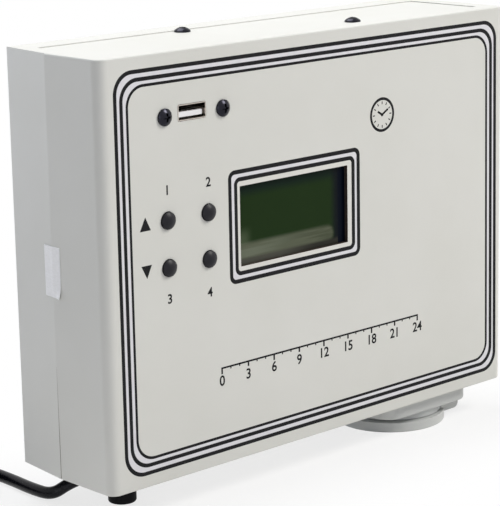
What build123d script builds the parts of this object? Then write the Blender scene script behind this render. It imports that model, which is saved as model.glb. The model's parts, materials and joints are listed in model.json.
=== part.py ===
"""A programmable azan clock: a wall or table box with a display, four buttons, a USB port and a switched outlet.

Millimetres. X runs to the right along the face, Y away from the viewer, Z up. The origin is on the standing
surface, under the middle of the box. Places on the case are written as a distance across it from its middle,
a depth behind its face and a height above its underside.
"""

import math
import os

from build123d import *

os.makedirs("parts", exist_ok=True)

# ---------------------------------------------------------------- driving dimensions

# Case shells
case_width = 210.0
case_height = 155.0
case_depth = 56.0
front_depth = 29.5  # from the face to the seam
wall = 2.0
front_corner = 4.0  # radius of the face's two upright edges
face_edge = 0.6  # rounding along the face's top and bottom
back_edge = 1.0  # rounding round the back
side_step = 0.3  # the front shell stands this much proud of the rear shell at the seam
rear_taper = 3.0  # each side wall of the rear shell leans in by this much
stand_height = 13.6  # from the standing surface to the case's underside

# End panels, held in grooves in the rims of both shells
rim_width = 8.0  # rim at the face and at both sides
rear_rim = 12.0
rim_skin = 1.2  # thickness of the rim outside the groove
rim_ledge = 1.6  # thickness of the rim inside the groove
groove_bite = 4.0
panel_thickness = 2.0
panel_fit = 0.1
panel_rise = 1.0  # the top panel's middle stands this much above its edge, in the window of the rims
rise_fit = 0.3

# Screws and nuts
screw_diameter = 3.0
screw_fit = 0.1  # radial clearance of a screw in a hole or a pilot
head_diameter = 6.2
head_height = 1.9
head_edge = 0.6  # height of the head's upright edge under the dome
recess_length = 3.2
recess_width = 0.8
recess_depth = 1.1
nut_flats = 5.5
nut_height = 2.4

# Four case screws from the rear
post_inset = 11.5  # from the side walls
post_height = 14.0  # from the top and the underside
post_diameter = 9.0
case_head_diameter = 6.0
case_head_depth = 12.0  # how deep the heads lie in their posts
case_thread = 14.0  # engagement in the front shell

# Keyholes in the back wall
keyhole_pitch = 120.0
keyhole_height = 118.0
keyhole_entry = 8.5
keyhole_slot = 4.4
keyhole_rise = 8.0

# Display
window_width = 55.5
window_height = 29.8
window_from_left = 63.5
window_from_floor = 72.9  # above the case's underside
window_wall = 1.6  # the front wall round the window, thinned by a pocket from behind
bezel_width = 60.0
bezel_height = 38.0
bezel_depth = 6.9
bezel_sheet = 0.6
bezel_gap = 0.1  # behind the window's wall
bezel_fit = 0.4  # round the bezel in its pocket
view_width = 48.0
view_height = 28.0
glass_thickness = 2.2
glass_margin = 0.4  # between the glass and the bezel's skirt
lcd_board_width = 70.0
lcd_board_height = 50.0
lcd_hole_pitch_x = 64.0
lcd_hole_pitch_z = 44.0
board_thickness = 1.6

# Small screws of the boards
small_screw = 2.5
small_head = 4.6
small_head_height = 1.7
small_screw_length = 7.0
boss_diameter = 5.5

# Buttons and their switches
button_left = 29.05  # centre of the left column, from the left wall
button_pitch_x = 19.07
button_low = 78.44  # centre of the lower row, above the underside
button_pitch_z = 17.09
button_diameter = 6.2
button_fit = 0.2
button_stand = 2.0
button_edge = 0.75  # height of the cap's upright edge under the dome
button_flange = 8.4
button_flange_thickness = 1.0
button_gap = 0.1  # between the flange and the front wall
button_travel = 0.5
plunger_diameter = 3.4
plunger_fit = 0.1
plunger_reach = 1.2  # into the switch
plunger_room = 0.3  # left in the switch behind the plunger at the end of its travel
switch_size = 6.0
switch_thickness = 3.8
keypad_width = 34.0
keypad_height = 32.0
keypad_hole_pitch = 26.6

# USB port
port_left = 41.55
port_height = 132.8
port_width = 13.1
port_thickness = 5.75
port_sheet = 0.35
port_corner = 0.6
port_depth = 14.0
port_fit = 0.15
tongue_width = 11.2
tongue_thickness = 1.8
tongue_drop = 0.8  # the tongue lies this much below the port's middle
tongue_set_back = 1.0
contact_set_back = 2.0
contact_width = 1.0
contact_pitch = 2.4
contact_thickness = 0.2
port_screw_left = 42.37  # midway between the two screws
port_screw_pitch = 27.33
port_screw_drop = 0.6  # the screws lie this much below the port's middle
port_ear_length = 37.0
port_ear_height = 12.0
port_ear_thickness = 3.0
port_body_width = 16.0
port_body_height = 8.6
port_body_depth = 20.0
lead_diameter = 3.6
lead_bend = 7.0
lead_end_run = 2.7  # straight, before it meets the main board

# Main board on the rear shell
main_width = 120.0
main_height = 80.0
main_left = 25.0  # from the left wall
main_low = 22.0
main_hole_inset = 4.0
main_stand = 6.0  # between the back wall and the board
standoff_diameter = 6.5
controller_size = (52.0, 14.0, 4.0)
controller_place = (91.0, 70.0)  # from the left wall and above the underside, like the places that follow
relay_size = (19.0, 15.5, 15.0)
relay_place = (75.5, 36.75)
terminal_size = (30.0, 10.0, 11.0)
terminal_place = (110.0, 29.0)
header_size = (22.0, 6.0, 9.0)
header_height = 92.0
ribbon_thickness = 1.0
ribbon_sag = 6.0
component_edge = 0.6  # rounding of the components' edges
cell_diameter = 20.0
cell_thickness = 3.2
cell_place = (42.5, 62.0)
cell_edge = 0.5
holder_wall = 1.5
capacitor_diameter = 8.0
capacitor_height = 12.0
capacitor_pitch = 12.0
capacitor_place = (42.5, 37.0)

# Supply board, hung from the top panel by two screws
supply_screw_left = (73.0, 135.1)
supply_screw_depth = (40.2, 12.3)
spacer_diameter = 6.0
spacer_height = 8.0
supply_width = 76.0
supply_depth = 36.0
transformer_size = (34.0, 30.0, 22.0)
smoothing_diameter = 10.0
smoothing_height = 16.0
wire_diameter = 2.4
wire_bend = 4.0

# Outlet under the case
outlet_right = 39.5  # centre, from the right wall
flange_width = 50.0
flange_overlap = 4.0  # the flange covers this much of the rims before and behind it
flange_thickness = 6.4
flange_corner = 8.0
flange_edge = 0.8
barrel_diameter = 40.8
barrel_height = 34.0
barrel_fit = 0.2
barrel_cap = 2.0  # thickness of the barrel's closed end
well_diameter = 39.0
well_height = 8.2  # the well's floor, above the case's underside
collar_height = 2.9
ring_diameter = 46.0
ring_height = 4.0
ring_fit = 0.2
insert_fit = 0.1
pin_pitch = 19.0
pin_hole = 5.4
sleeve_diameter = 6.6
sleeve_bore = 4.9
sleeve_low = 14.0
sleeve_high = 30.0
sleeve_closed = 2.0
clip_width = 5.0
clip_thickness = 0.8
clip_height = 14.0
clip_gap = 0.3

# Lid of the outlet, on a hinge at its right
lid_diameter = 45.4
lid_thickness = 4.0
lid_skin = 1.8
lid_recess = 35.0
lid_edge = 0.5
lid_shift = 1.3  # the lid's middle lies this much to the left of the outlet's
lid_notch = 8.4  # from the pin's axis to the notches in the lid beside the ears
hinge_from_middle = 21.1
hinge_drop = 8.7  # the pin's axis, below the case's underside
hinge_pin = 2.0
hinge_fit = 0.05
knuckle_diameter = 4.2
knuckle_length = 6.0
knuckle_gap = 0.3
ear_width = 10.5
ear_thickness = 4.0
ear_span = 30.0  # over both ears
ear_height = 5.6
ear_from_middle = 14.0
ear_round = 1.2  # lower edge beside the lid
ear_outer_round = 2.5  # lower edge on the right
spring_wire = 0.5
spring_mean = 3.2
spring_turns = 7

# Foot under the left end
foot_left = 25.3
foot_diameter = 10.6
foot_round = 0.8
foot_counterbore = 6.8
foot_counterbore_depth = 9.0

# Paper seal over the seam on the left wall
seal_height = 18.6
seal_width = 8.2
seal_front = 25.7  # the seal's front edge, behind the face
seal_low = 68.0
seal_thickness = 0.1

# Mains cord
cord_diameter = 4.6
bushing_left = 19.0
bushing_depth = 38.3
bushing_flange = 11.0
bushing_flange_thickness = 1.5
bushing_body = 9.4
bushing_edge = 0.7
bushing_height = 5.0  # above the panel
coil_rows = 2
coil_columns = 4
coil_mean_radius = 27.6
coil_edge = 1.8
plug_width = 35.3
plug_thickness = 13.7
plug_length = 36.0
plug_shoulder = 20.0
plug_tail = 16.0  # width where the strain relief begins
plug_edge = 1.7
relief_length = 14.0
relief_diameter = 8.0
plug_pin_diameter = 4.0
plug_pin_length = 19.0
plug_pin_pitch = 19.0
plug_start = 69.0  # where the cord enters the plug's strain relief, behind the face

# ---------------------------------------------------------------- places worked out from them

front_y = (button_stand - case_depth) / 2
case_z = stand_height


def across(from_left):
    return from_left - case_width / 2


def deep(depth):
    return front_y + depth


def up(height):
    return case_z + height


def facing(depth):
    """A plane parallel to the face, its normal towards the viewer, drawn on in (across, height)."""
    return Plane((0, deep(depth), case_z), x_dir=(1, 0, 0), z_dir=(0, -1, 0))


def level(height):
    """A plane parallel to the underside, its normal up, drawn on in (across, depth)."""
    return Plane((0, front_y, up(height)))


def upright(place):
    """A plane at that place across the case, its normal to the right, drawn on in (depth, height)."""
    return Plane((place, front_y, case_z), x_dir=(0, 1, 0), z_dir=(1, 0, 0))


def block(low, high, mode=Mode.ADD):
    """A box between two corners given as (across, depth, height)."""
    with BuildSketch(level(low[2])) as outline:
        with Locations(((low[0] + high[0]) / 2, (low[1] + high[1]) / 2)):
            Rectangle(high[0] - low[0], high[1] - low[1])
    extrude(outline.sketch, amount=high[2] - low[2], mode=mode)


def dome_middle(radius, edge, height):
    """The middle point of the arc from a dome's edge to its top, in (radius, height)."""
    rise = height - edge
    sphere = (radius**2 + rise**2) / (2 * rise)
    half_angle = math.asin(radius / sphere) / 2
    return sphere * math.sin(half_angle), height - sphere + sphere * math.cos(half_angle)


def beside(seat):
    """The plane through a seat's axis, drawn on in (radius, height above the seat)."""
    return Plane(seat.origin, x_dir=seat.x_dir, z_dir=-seat.y_dir)


def pan_screw(seat, length, shank, head, height, edge):
    """Adds a pan-head screw: seat is the plane under its head, and its normal points out of the head."""
    with BuildSketch(beside(seat)) as profile:
        with BuildLine():
            Polyline((0, height), (0, -length), (shank / 2, -length), (shank / 2, 0), (head / 2, 0), (head / 2, edge))
            ThreePointArc((head / 2, edge), dome_middle(head / 2, edge, height), (0, height))
        make_face()
    revolve(profile.sketch, axis=Axis(seat.origin, seat.z_dir))


def cross_recess(seat, height):
    """Cuts the cross recess of a pan-head screw."""
    with BuildSketch(seat.offset(height)) as cross:
        Rectangle(recess_length, recess_width)
        Rectangle(recess_width, recess_length)
    extrude(cross.sketch, amount=-recess_depth, mode=Mode.SUBTRACT)


def hex_nut(seat):
    """Adds a nut that stands on its seat."""
    with BuildSketch(seat) as outline:
        RegularPolygon(nut_flats / 2, 6, major_radius=False)
        Circle(screw_hole, mode=Mode.SUBTRACT)
    extrude(outline.sketch, amount=nut_height)


def tube(points, bend, diameter):
    """Adds a round lead along straight runs with equal bends."""
    with BuildLine():
        path = FilletPolyline(*points, radius=bend)
    with BuildSketch(Plane(path @ 0, z_dir=path % 0)) as section:
        Circle(diameter / 2)
    sweep(section.sketch, path=path)


screw_hole = screw_diameter / 2 + screw_fit
small_hole = small_screw / 2 + screw_fit
groove_height = panel_thickness + 2 * panel_fit
rim_height = rim_skin + groove_height + rim_ledge
groove_wall = rim_width - groove_bite
seam_half = case_width / 2 - side_step
back_half = seam_half - rear_taper
window_back = case_depth - rear_rim
groove_back = window_back + groove_bite
bottom_groove = rim_skin
top_groove = case_height - rim_skin - groove_height
panel_low = rim_skin + panel_fit  # outer face of the bottom panel
panel_high = case_height - panel_low  # outer face of the top panel's edge
panel_top = panel_high + panel_rise
post_places = [
    (side * (case_width / 2 - post_inset), height)
    for side in (-1, 1)
    for height in (post_height, case_height - post_height)
]

lcd_x = across(window_from_left + window_width / 2)
lcd_h = window_from_floor + window_height / 2
bezel_front = window_wall + bezel_gap
lcd_board_front = bezel_front + bezel_depth
lcd_holes = [
    (lcd_x + sx * lcd_hole_pitch_x / 2, lcd_h + sz * lcd_hole_pitch_z / 2) for sx in (-1, 1) for sz in (-1, 1)
]
button_places = {
    "up": (across(button_left), button_low + button_pitch_z),
    "menu": (across(button_left + button_pitch_x), button_low + button_pitch_z),
    "down": (across(button_left), button_low),
    "ok": (across(button_left + button_pitch_x), button_low),
}
keypad_x = across(button_left + button_pitch_x / 2)
keypad_h = button_low + button_pitch_z / 2
keypad_holes = [(keypad_x, keypad_h - keypad_hole_pitch / 2), (keypad_x, keypad_h + keypad_hole_pitch / 2)]
flange_front = wall + button_gap
flange_back = flange_front + button_flange_thickness
switch_front = lcd_board_front - switch_thickness
port_x = across(port_left)
port_screws = [
    (across(port_screw_left) - port_screw_pitch / 2, port_height - port_screw_drop),
    (across(port_screw_left) + port_screw_pitch / 2, port_height - port_screw_drop),
]

main_x = across(main_left + main_width / 2)
main_h = main_low + main_height / 2
main_back = case_depth - wall - main_stand
main_front = main_back - board_thickness
main_holes = [
    (main_x + sx * (main_width / 2 - main_hole_inset), main_h + sz * (main_height / 2 - main_hole_inset))
    for sx in (-1, 1)
    for sz in (-1, 1)
]

supply_places = [
    (across(supply_screw_left[0]), supply_screw_depth[0]),
    (across(supply_screw_left[1]), supply_screw_depth[1]),
]
supply_x = sum(place[0] for place in supply_places) / 2
supply_d = sum(place[1] for place in supply_places) / 2
panel_inside = panel_high - panel_thickness
supply_top = panel_inside - spacer_height
supply_low = supply_top - board_thickness

outlet_x = case_width / 2 - outlet_right
outlet_depth = (rim_width + window_back) / 2
outlet = (outlet_x, outlet_depth)
flange_depth = window_back - rim_width + 2 * flange_overlap
collar_low = -flange_thickness - collar_height
lid_low = -stand_height
lid_high = lid_low + lid_thickness
hinge_x = outlet_x + hinge_from_middle
ear_gap_start = outlet_depth - ear_span / 2 + ear_thickness
knuckle_start = ear_gap_start + knuckle_gap
knuckle_end = 2 * outlet_depth - knuckle_start
foot = (across(foot_left), outlet_depth)
bushing = (across(bushing_left), bushing_depth)
bushing_low = panel_low - bushing_flange_thickness
cord_floor = -stand_height + cord_diameter / 2

# The cord's route outside the case, chosen point by point: (from the left wall, depth, height)
cord_route = [
    (19.0, 38.3, -0.2),
    (19.0, 38.3, -5.4),
    (13.0, 42.2, -7.8),
    (7.0, 44.6, -11.3),
    (5.9, 55.4, -11.3),
    (6.9, 71.2, -11.3),
    (6.0, 93.0, -11.3),
]

# ---------------------------------------------------------------- case

with BuildPart() as front_shell:
    block((-case_width / 2, 0, 0), (case_width / 2, front_depth, case_height))
    fillet(front_shell.edges().filter_by(Axis.Z).group_by(Axis.Y)[0], front_corner)
    fillet(front_shell.faces().sort_by(Axis.Y)[0].edges().filter_by(Axis.X), face_edge)
    block(
        (-case_width / 2 + wall, wall, rim_height),
        (case_width / 2 - wall, front_depth, case_height - rim_height),
        mode=Mode.SUBTRACT,
    )
    # The end panels' windows, and the grooves that hold the panels
    block(
        (-case_width / 2 + rim_width, rim_width, 0),
        (case_width / 2 - rim_width, front_depth, case_height),
        mode=Mode.SUBTRACT,
    )
    for groove in (bottom_groove, top_groove):
        block(
            (-case_width / 2 + groove_wall, groove_wall, groove),
            (case_width / 2 - groove_wall, front_depth, groove + groove_height),
            mode=Mode.SUBTRACT,
        )
    # Pillars that the case screws bite into, and bosses for the display and the keypad
    with BuildSketch(facing(wall)):
        with Locations(*post_places):
            Circle(post_diameter / 2)
    extrude(amount=wall - front_depth)
    with BuildSketch(facing(wall)):
        with Locations(*lcd_holes, *keypad_holes):
            Circle(boss_diameter / 2)
    extrude(amount=wall - lcd_board_front)
    with BuildSketch(facing(window_wall)):
        with Locations((lcd_x, lcd_h)):
            Rectangle(bezel_width + 2 * bezel_fit, bezel_height + 2 * bezel_fit)
    extrude(amount=window_wall - wall, mode=Mode.SUBTRACT)
    with BuildSketch(facing(front_depth)):
        with Locations(*post_places):
            Circle(screw_hole)
    extrude(amount=case_thread + screw_fit, mode=Mode.SUBTRACT)
    with BuildSketch(facing(lcd_board_front)):
        with Locations(*lcd_holes, *keypad_holes):
            Circle(small_hole)
    extrude(amount=small_screw_length - board_thickness + screw_fit, mode=Mode.SUBTRACT)
    # Openings in the face
    with BuildSketch(facing(0)):
        with Locations((lcd_x, lcd_h)):
            Rectangle(window_width, window_height)
        with Locations(*button_places.values()):
            Circle(button_diameter / 2 + button_fit)
        with Locations((port_x, port_height)):
            RectangleRounded(port_width + 2 * port_fit, port_thickness + 2 * port_fit, port_corner + port_fit)
        with Locations(*port_screws):
            Circle(screw_hole)
    extrude(amount=-wall, mode=Mode.SUBTRACT)
    # The outlet's barrel passes the lower rim
    with BuildSketch(level(0)):
        with Locations(outlet):
            Circle(barrel_diameter / 2 + barrel_fit)
    extrude(amount=rim_height, mode=Mode.SUBTRACT)
front_shell.part.label = "front_shell"
export_step(front_shell.part, "parts/front_shell.step")

with BuildPart() as rear_shell:
    with BuildSketch(level(0)):
        with BuildLine():
            Polyline(
                (-seam_half, front_depth),
                (seam_half, front_depth),
                (back_half, case_depth),
                (-back_half, case_depth),
                close=True,
            )
        make_face()
    extrude(amount=case_height)
    fillet(rear_shell.faces().sort_by(Axis.Y)[-1].edges(), back_edge)
    with BuildSketch(level(rim_height)):
        with BuildLine():
            Polyline(
                (wall - seam_half, front_depth),
                (seam_half - wall, front_depth),
                (back_half - wall, case_depth - wall),
                (wall - back_half, case_depth - wall),
                close=True,
            )
        make_face()
    extrude(amount=case_height - 2 * rim_height, mode=Mode.SUBTRACT)
    block(
        (-case_width / 2 + rim_width, front_depth, 0),
        (case_width / 2 - rim_width, window_back, case_height),
        mode=Mode.SUBTRACT,
    )
    for groove in (bottom_groove, top_groove):
        block(
            (-case_width / 2 + groove_wall, front_depth, groove),
            (case_width / 2 - groove_wall, groove_back, groove + groove_height),
            mode=Mode.SUBTRACT,
        )
    # Pillars for the case screws, with a deep counterbore from the back, and standoffs for the main board
    with BuildSketch(facing(front_depth)):
        with Locations(*post_places):
            Circle(post_diameter / 2)
    extrude(amount=front_depth - case_depth)
    with BuildSketch(facing(main_back)):
        with Locations(*main_holes):
            Circle(standoff_diameter / 2)
    extrude(amount=main_back - case_depth)
    with BuildSketch(facing(case_depth)):
        with Locations(*post_places):
            Circle(screw_hole)
    extrude(amount=case_depth - front_depth, mode=Mode.SUBTRACT)
    with BuildSketch(facing(case_depth)):
        with Locations(*post_places):
            Circle(case_head_diameter / 2 + screw_fit)
    extrude(amount=case_head_depth, mode=Mode.SUBTRACT)
    with BuildSketch(facing(main_back)):
        with Locations(*main_holes):
            Circle(small_hole)
    extrude(amount=board_thickness - small_screw_length - screw_fit, mode=Mode.SUBTRACT)
    # Keyholes to hang the case by
    with BuildSketch(facing(case_depth)):
        for side in (-1, 1):
            with Locations((side * keyhole_pitch / 2, keyhole_height)):
                Circle(keyhole_entry / 2)
            with Locations((side * keyhole_pitch / 2, keyhole_height + keyhole_rise / 2)):
                SlotCenterToCenter(keyhole_rise, keyhole_slot, rotation=90)
    extrude(amount=wall, mode=Mode.SUBTRACT)
    with BuildSketch(level(0)):
        with Locations(outlet):
            Circle(barrel_diameter / 2 + barrel_fit)
    extrude(amount=rim_height, mode=Mode.SUBTRACT)
rear_shell.part.label = "rear_shell"
export_step(rear_shell.part, "parts/rear_shell.step")

with BuildPart() as top_panel:
    block(
        (-case_width / 2 + groove_wall + panel_fit, groove_wall + panel_fit, panel_inside),
        (case_width / 2 - groove_wall - panel_fit, groove_back - panel_fit, panel_high),
    )
    block(
        (-case_width / 2 + rim_width + rise_fit, rim_width + rise_fit, panel_high),
        (case_width / 2 - rim_width - rise_fit, window_back - rise_fit, panel_top),
    )
    with BuildSketch(level(panel_inside)):
        with Locations(*supply_places):
            Circle(screw_hole)
    extrude(amount=panel_thickness + panel_rise, mode=Mode.SUBTRACT)
top_panel.part.label = "top_panel"
export_step(top_panel.part, "parts/top_panel.step")

with BuildPart() as bottom_panel:
    block(
        (-case_width / 2 + groove_wall + panel_fit, groove_wall + panel_fit, panel_low),
        (case_width / 2 - groove_wall - panel_fit, groove_back - panel_fit, panel_low + panel_thickness),
    )
    with BuildSketch(level(panel_low)):
        with Locations(outlet):
            Circle(barrel_diameter / 2 + barrel_fit)
        with Locations(foot):
            Circle(screw_hole)
        with Locations(bushing):
            Circle(bushing_body / 2 + panel_fit)
    extrude(amount=panel_thickness, mode=Mode.SUBTRACT)
bottom_panel.part.label = "bottom_panel"
export_step(bottom_panel.part, "parts/bottom_panel.step")

with BuildPart() as case_screws:
    screw_length = case_depth - case_head_depth - front_depth + case_thread
    for place in post_places:
        seat = Plane((place[0], deep(case_depth - case_head_depth), up(place[1])), x_dir=(-1, 0, 0), z_dir=(0, 1, 0))
        pan_screw(seat, screw_length, screw_diameter, case_head_diameter, head_height, head_edge)
        cross_recess(seat, head_height)
case_screws.part.label = "case_screws"
export_step(case_screws.part, "parts/case_screws.step")

with BuildPart() as warranty_seal:
    # Paper that lies on both shells and steps down at the seam
    seal_back = seal_front + seal_width
    step_end = front_depth + side_step
    lean = rear_taper / (case_depth - front_depth)
    outside = [
        (-case_width / 2, seal_front),
        (-case_width / 2, front_depth),
        (-seam_half + lean * (step_end - front_depth), step_end),
        (-seam_half + lean * (seal_back - front_depth), seal_back),
    ]
    with BuildSketch(level(seal_low)):
        with BuildLine():
            Polyline(*outside, *[(x - seal_thickness, depth) for x, depth in reversed(outside)], close=True)
        make_face()
    extrude(amount=seal_height)
warranty_seal.part.label = "warranty_seal"
export_step(warranty_seal.part, "parts/warranty_seal.step")

# ---------------------------------------------------------------- buttons, switches, keypad board

for name, place in button_places.items():
    seat = Plane((place[0], front_y, up(place[1])), x_dir=(1, 0, 0), z_dir=(0, -1, 0))
    with BuildPart() as button:
        with BuildSketch(beside(seat)):
            with BuildLine():
                Polyline(
                    (0, button_stand),
                    (0, -switch_front - plunger_reach),
                    (plunger_diameter / 2, -switch_front - plunger_reach),
                    (plunger_diameter / 2, -flange_back),
                    (button_flange / 2, -flange_back),
                    (button_flange / 2, -flange_front),
                    (button_diameter / 2, -flange_front),
                    (button_diameter / 2, button_edge),
                )
                ThreePointArc(
                    (button_diameter / 2, button_edge),
                    dome_middle(button_diameter / 2, button_edge, button_stand),
                    (0, button_stand),
                )
            make_face()
        revolve(axis=Axis(seat.origin, seat.z_dir))
    button.part.label = f"button_{name}"
    export_step(button.part, f"parts/button_{name}.step")

    with BuildPart() as switch:
        with BuildSketch(facing(switch_front)):
            with Locations(place):
                Rectangle(switch_size, switch_size)
        extrude(amount=-switch_thickness)
        with BuildSketch(facing(switch_front)):
            with Locations(place):
                Circle(plunger_diameter / 2 + plunger_fit)
        extrude(amount=-plunger_reach - button_travel - plunger_room, mode=Mode.SUBTRACT)
    switch.part.label = f"switch_{name}"
    export_step(switch.part, f"parts/switch_{name}.step")

with BuildPart() as keypad_board:
    with BuildSketch(facing(lcd_board_front)):
        with Locations((keypad_x, keypad_h)):
            Rectangle(keypad_width, keypad_height)
        with Locations(*keypad_holes):
            Circle(small_hole, mode=Mode.SUBTRACT)
    extrude(amount=-board_thickness)
keypad_board.part.label = "keypad_board"
export_step(keypad_board.part, "parts/keypad_board.step")

# ---------------------------------------------------------------- display

glass_front = bezel_front + bezel_sheet
backlight_front = glass_front + glass_thickness
inside_width = bezel_width - 2 * bezel_sheet
inside_height = bezel_height - 2 * bezel_sheet

with BuildPart() as lcd_bezel:
    with BuildSketch(facing(bezel_front)):
        with Locations((lcd_x, lcd_h)):
            Rectangle(bezel_width, bezel_height)
    extrude(amount=-bezel_depth)
    with BuildSketch(facing(glass_front)):
        with Locations((lcd_x, lcd_h)):
            Rectangle(inside_width, inside_height)
    extrude(amount=bezel_sheet - bezel_depth, mode=Mode.SUBTRACT)
    with BuildSketch(facing(bezel_front)):
        with Locations((lcd_x, lcd_h)):
            Rectangle(view_width, view_height)
    extrude(amount=-bezel_sheet, mode=Mode.SUBTRACT)
lcd_bezel.part.label = "lcd_bezel"
export_step(lcd_bezel.part, "parts/lcd_bezel.step")

with BuildPart() as lcd_glass:
    with BuildSketch(facing(glass_front)):
        with Locations((lcd_x, lcd_h)):
            Rectangle(inside_width - 2 * glass_margin, inside_height - 2 * glass_margin)
    extrude(amount=-glass_thickness)
lcd_glass.part.label = "lcd_glass"
export_step(lcd_glass.part, "parts/lcd_glass.step")

with BuildPart() as lcd_backlight:
    with BuildSketch(facing(backlight_front)):
        with Locations((lcd_x, lcd_h)):
            Rectangle(inside_width - 2 * glass_margin, inside_height - 2 * glass_margin)
    extrude(amount=backlight_front - lcd_board_front)
lcd_backlight.part.label = "lcd_backlight"
export_step(lcd_backlight.part, "parts/lcd_backlight.step")

with BuildPart() as lcd_board:
    with BuildSketch(facing(lcd_board_front)):
        with Locations((lcd_x, lcd_h)):
            Rectangle(lcd_board_width, lcd_board_height)
        with Locations(*lcd_holes):
            Circle(small_hole, mode=Mode.SUBTRACT)
    extrude(amount=-board_thickness)
lcd_board.part.label = "lcd_board"
export_step(lcd_board.part, "parts/lcd_board.step")

with BuildPart() as board_screws:
    # The same small screw holds the display, the keypad and the main board
    for place in [*lcd_holes, *keypad_holes]:
        seat = Plane(
            (place[0], deep(lcd_board_front + board_thickness), up(place[1])), x_dir=(-1, 0, 0), z_dir=(0, 1, 0)
        )
        pan_screw(seat, small_screw_length, small_screw, small_head, small_head_height, head_edge)
    for place in main_holes:
        seat = Plane((place[0], deep(main_front), up(place[1])), x_dir=(1, 0, 0), z_dir=(0, -1, 0))
        pan_screw(seat, small_screw_length, small_screw, small_head, small_head_height, head_edge)
board_screws.part.label = "board_screws"
export_step(board_screws.part, "parts/board_screws.step")

# ---------------------------------------------------------------- USB port

with BuildPart() as usb_shell:
    with BuildSketch(facing(0)):
        with Locations((port_x, port_height)):
            RectangleRounded(port_width, port_thickness, port_corner)
            RectangleRounded(
                port_width - 2 * port_sheet, port_thickness - 2 * port_sheet, port_corner / 2, mode=Mode.SUBTRACT
            )
    extrude(amount=-port_depth)
usb_shell.part.label = "usb_shell"
export_step(usb_shell.part, "parts/usb_shell.step")

with BuildPart() as usb_housing:
    # A flange with two ears behind the face, and the block that closes the shell's back
    with BuildSketch(facing(wall)):
        with Locations((across(port_screw_left), port_height)):
            Rectangle(port_ear_length, port_ear_height)
    extrude(amount=-port_ear_thickness)
    with BuildSketch(facing(wall)):
        with Locations((port_x, port_height)):
            Rectangle(port_body_width, port_body_height)
    extrude(amount=wall - port_body_depth)
    with BuildSketch(facing(wall)):
        with Locations((port_x, port_height)):
            RectangleRounded(port_width + 2 * port_fit, port_thickness + 2 * port_fit, port_corner + port_fit)
    extrude(amount=wall - port_depth, mode=Mode.SUBTRACT)
    with BuildSketch(facing(wall)):
        with Locations(*port_screws):
            Circle(screw_hole)
    extrude(amount=-port_ear_thickness, mode=Mode.SUBTRACT)
usb_housing.part.label = "usb_housing"
export_step(usb_housing.part, "parts/usb_housing.step")

tongue_h = port_height - tongue_drop
with BuildPart() as usb_tongue:
    with BuildSketch(facing(tongue_set_back)):
        with Locations((port_x, tongue_h)):
            Rectangle(tongue_width, tongue_thickness)
    extrude(amount=tongue_set_back - port_depth)
usb_tongue.part.label = "usb_tongue"
export_step(usb_tongue.part, "parts/usb_tongue.step")

with BuildPart() as usb_contacts:
    with BuildSketch(facing(contact_set_back)):
        with Locations((port_x, tongue_h + (tongue_thickness + contact_thickness) / 2)):
            with GridLocations(contact_pitch, 0, 4, 1):
                Rectangle(contact_width, contact_thickness)
    extrude(amount=contact_set_back - port_depth)
usb_contacts.part.label = "usb_contacts"
export_step(usb_contacts.part, "parts/usb_contacts.step")

with BuildPart() as usb_screws:
    for place in port_screws:
        seat = Plane((place[0], front_y, up(place[1])), x_dir=(1, 0, 0), z_dir=(0, -1, 0))
        grip = wall + port_ear_thickness + nut_height
        pan_screw(seat, grip + screw_fit, screw_diameter, head_diameter, head_height, head_edge)
        cross_recess(seat, head_height)
usb_screws.part.label = "usb_screws"
export_step(usb_screws.part, "parts/usb_screws.step")

# ---------------------------------------------------------------- main board and what it carries


def on_main_board(name, place, size):
    """A block of that width, height and thickness, standing on the front of the main board."""
    with BuildPart() as piece:
        with BuildSketch(facing(main_front)):
            with Locations(place):
                Rectangle(size[0], size[1])
        extrude(amount=size[2])
        fillet(piece.edges().filter_by(Axis.Y), component_edge)
    piece.part.label = name
    export_step(piece.part, f"parts/{name}.step")


with BuildPart() as main_board:
    with BuildSketch(facing(main_front)):
        with Locations((main_x, main_h)):
            Rectangle(main_width, main_height)
        with Locations(*main_holes):
            Circle(small_hole, mode=Mode.SUBTRACT)
    extrude(amount=-board_thickness)
main_board.part.label = "main_board"
export_step(main_board.part, "parts/main_board.step")

terminal_x = across(terminal_place[0])
terminal_h = terminal_place[1]
on_main_board("controller", (across(controller_place[0]), controller_place[1]), controller_size)
on_main_board("relay", (across(relay_place[0]), relay_place[1]), relay_size)
on_main_board("terminal_block", (terminal_x, terminal_h), terminal_size)
on_main_board("main_header", (lcd_x, header_height), header_size)

holder_place = (across(cell_place[0]), cell_place[1])
with BuildPart() as cell_holder:
    with BuildSketch(facing(main_front)):
        with Locations(holder_place):
            Circle(cell_diameter / 2 + holder_wall)
    extrude(amount=holder_wall + cell_thickness)
    with BuildSketch(facing(main_front - holder_wall)):
        with Locations(holder_place):
            Circle(cell_diameter / 2 + panel_fit)
    extrude(amount=cell_thickness, mode=Mode.SUBTRACT)
cell_holder.part.label = "cell_holder"
export_step(cell_holder.part, "parts/cell_holder.step")

with BuildPart() as coin_cell:
    with BuildSketch(facing(main_front - holder_wall)):
        with Locations(holder_place):
            Circle(cell_diameter / 2)
    extrude(amount=cell_thickness)
    fillet(coin_cell.edges().group_by(Axis.Y)[0], cell_edge)
coin_cell.part.label = "coin_cell"
export_step(coin_cell.part, "parts/coin_cell.step")

with BuildPart() as capacitors:
    with BuildSketch(facing(main_front)):
        with Locations((across(capacitor_place[0]), capacitor_place[1])):
            with GridLocations(capacitor_pitch, 0, 2, 1):
                Circle(capacitor_diameter / 2)
    extrude(amount=capacitor_height)
    fillet(capacitors.edges().group_by(Axis.Y)[0], component_edge)
capacitors.part.label = "capacitors"
export_step(capacitors.part, "parts/capacitors.step")

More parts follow.
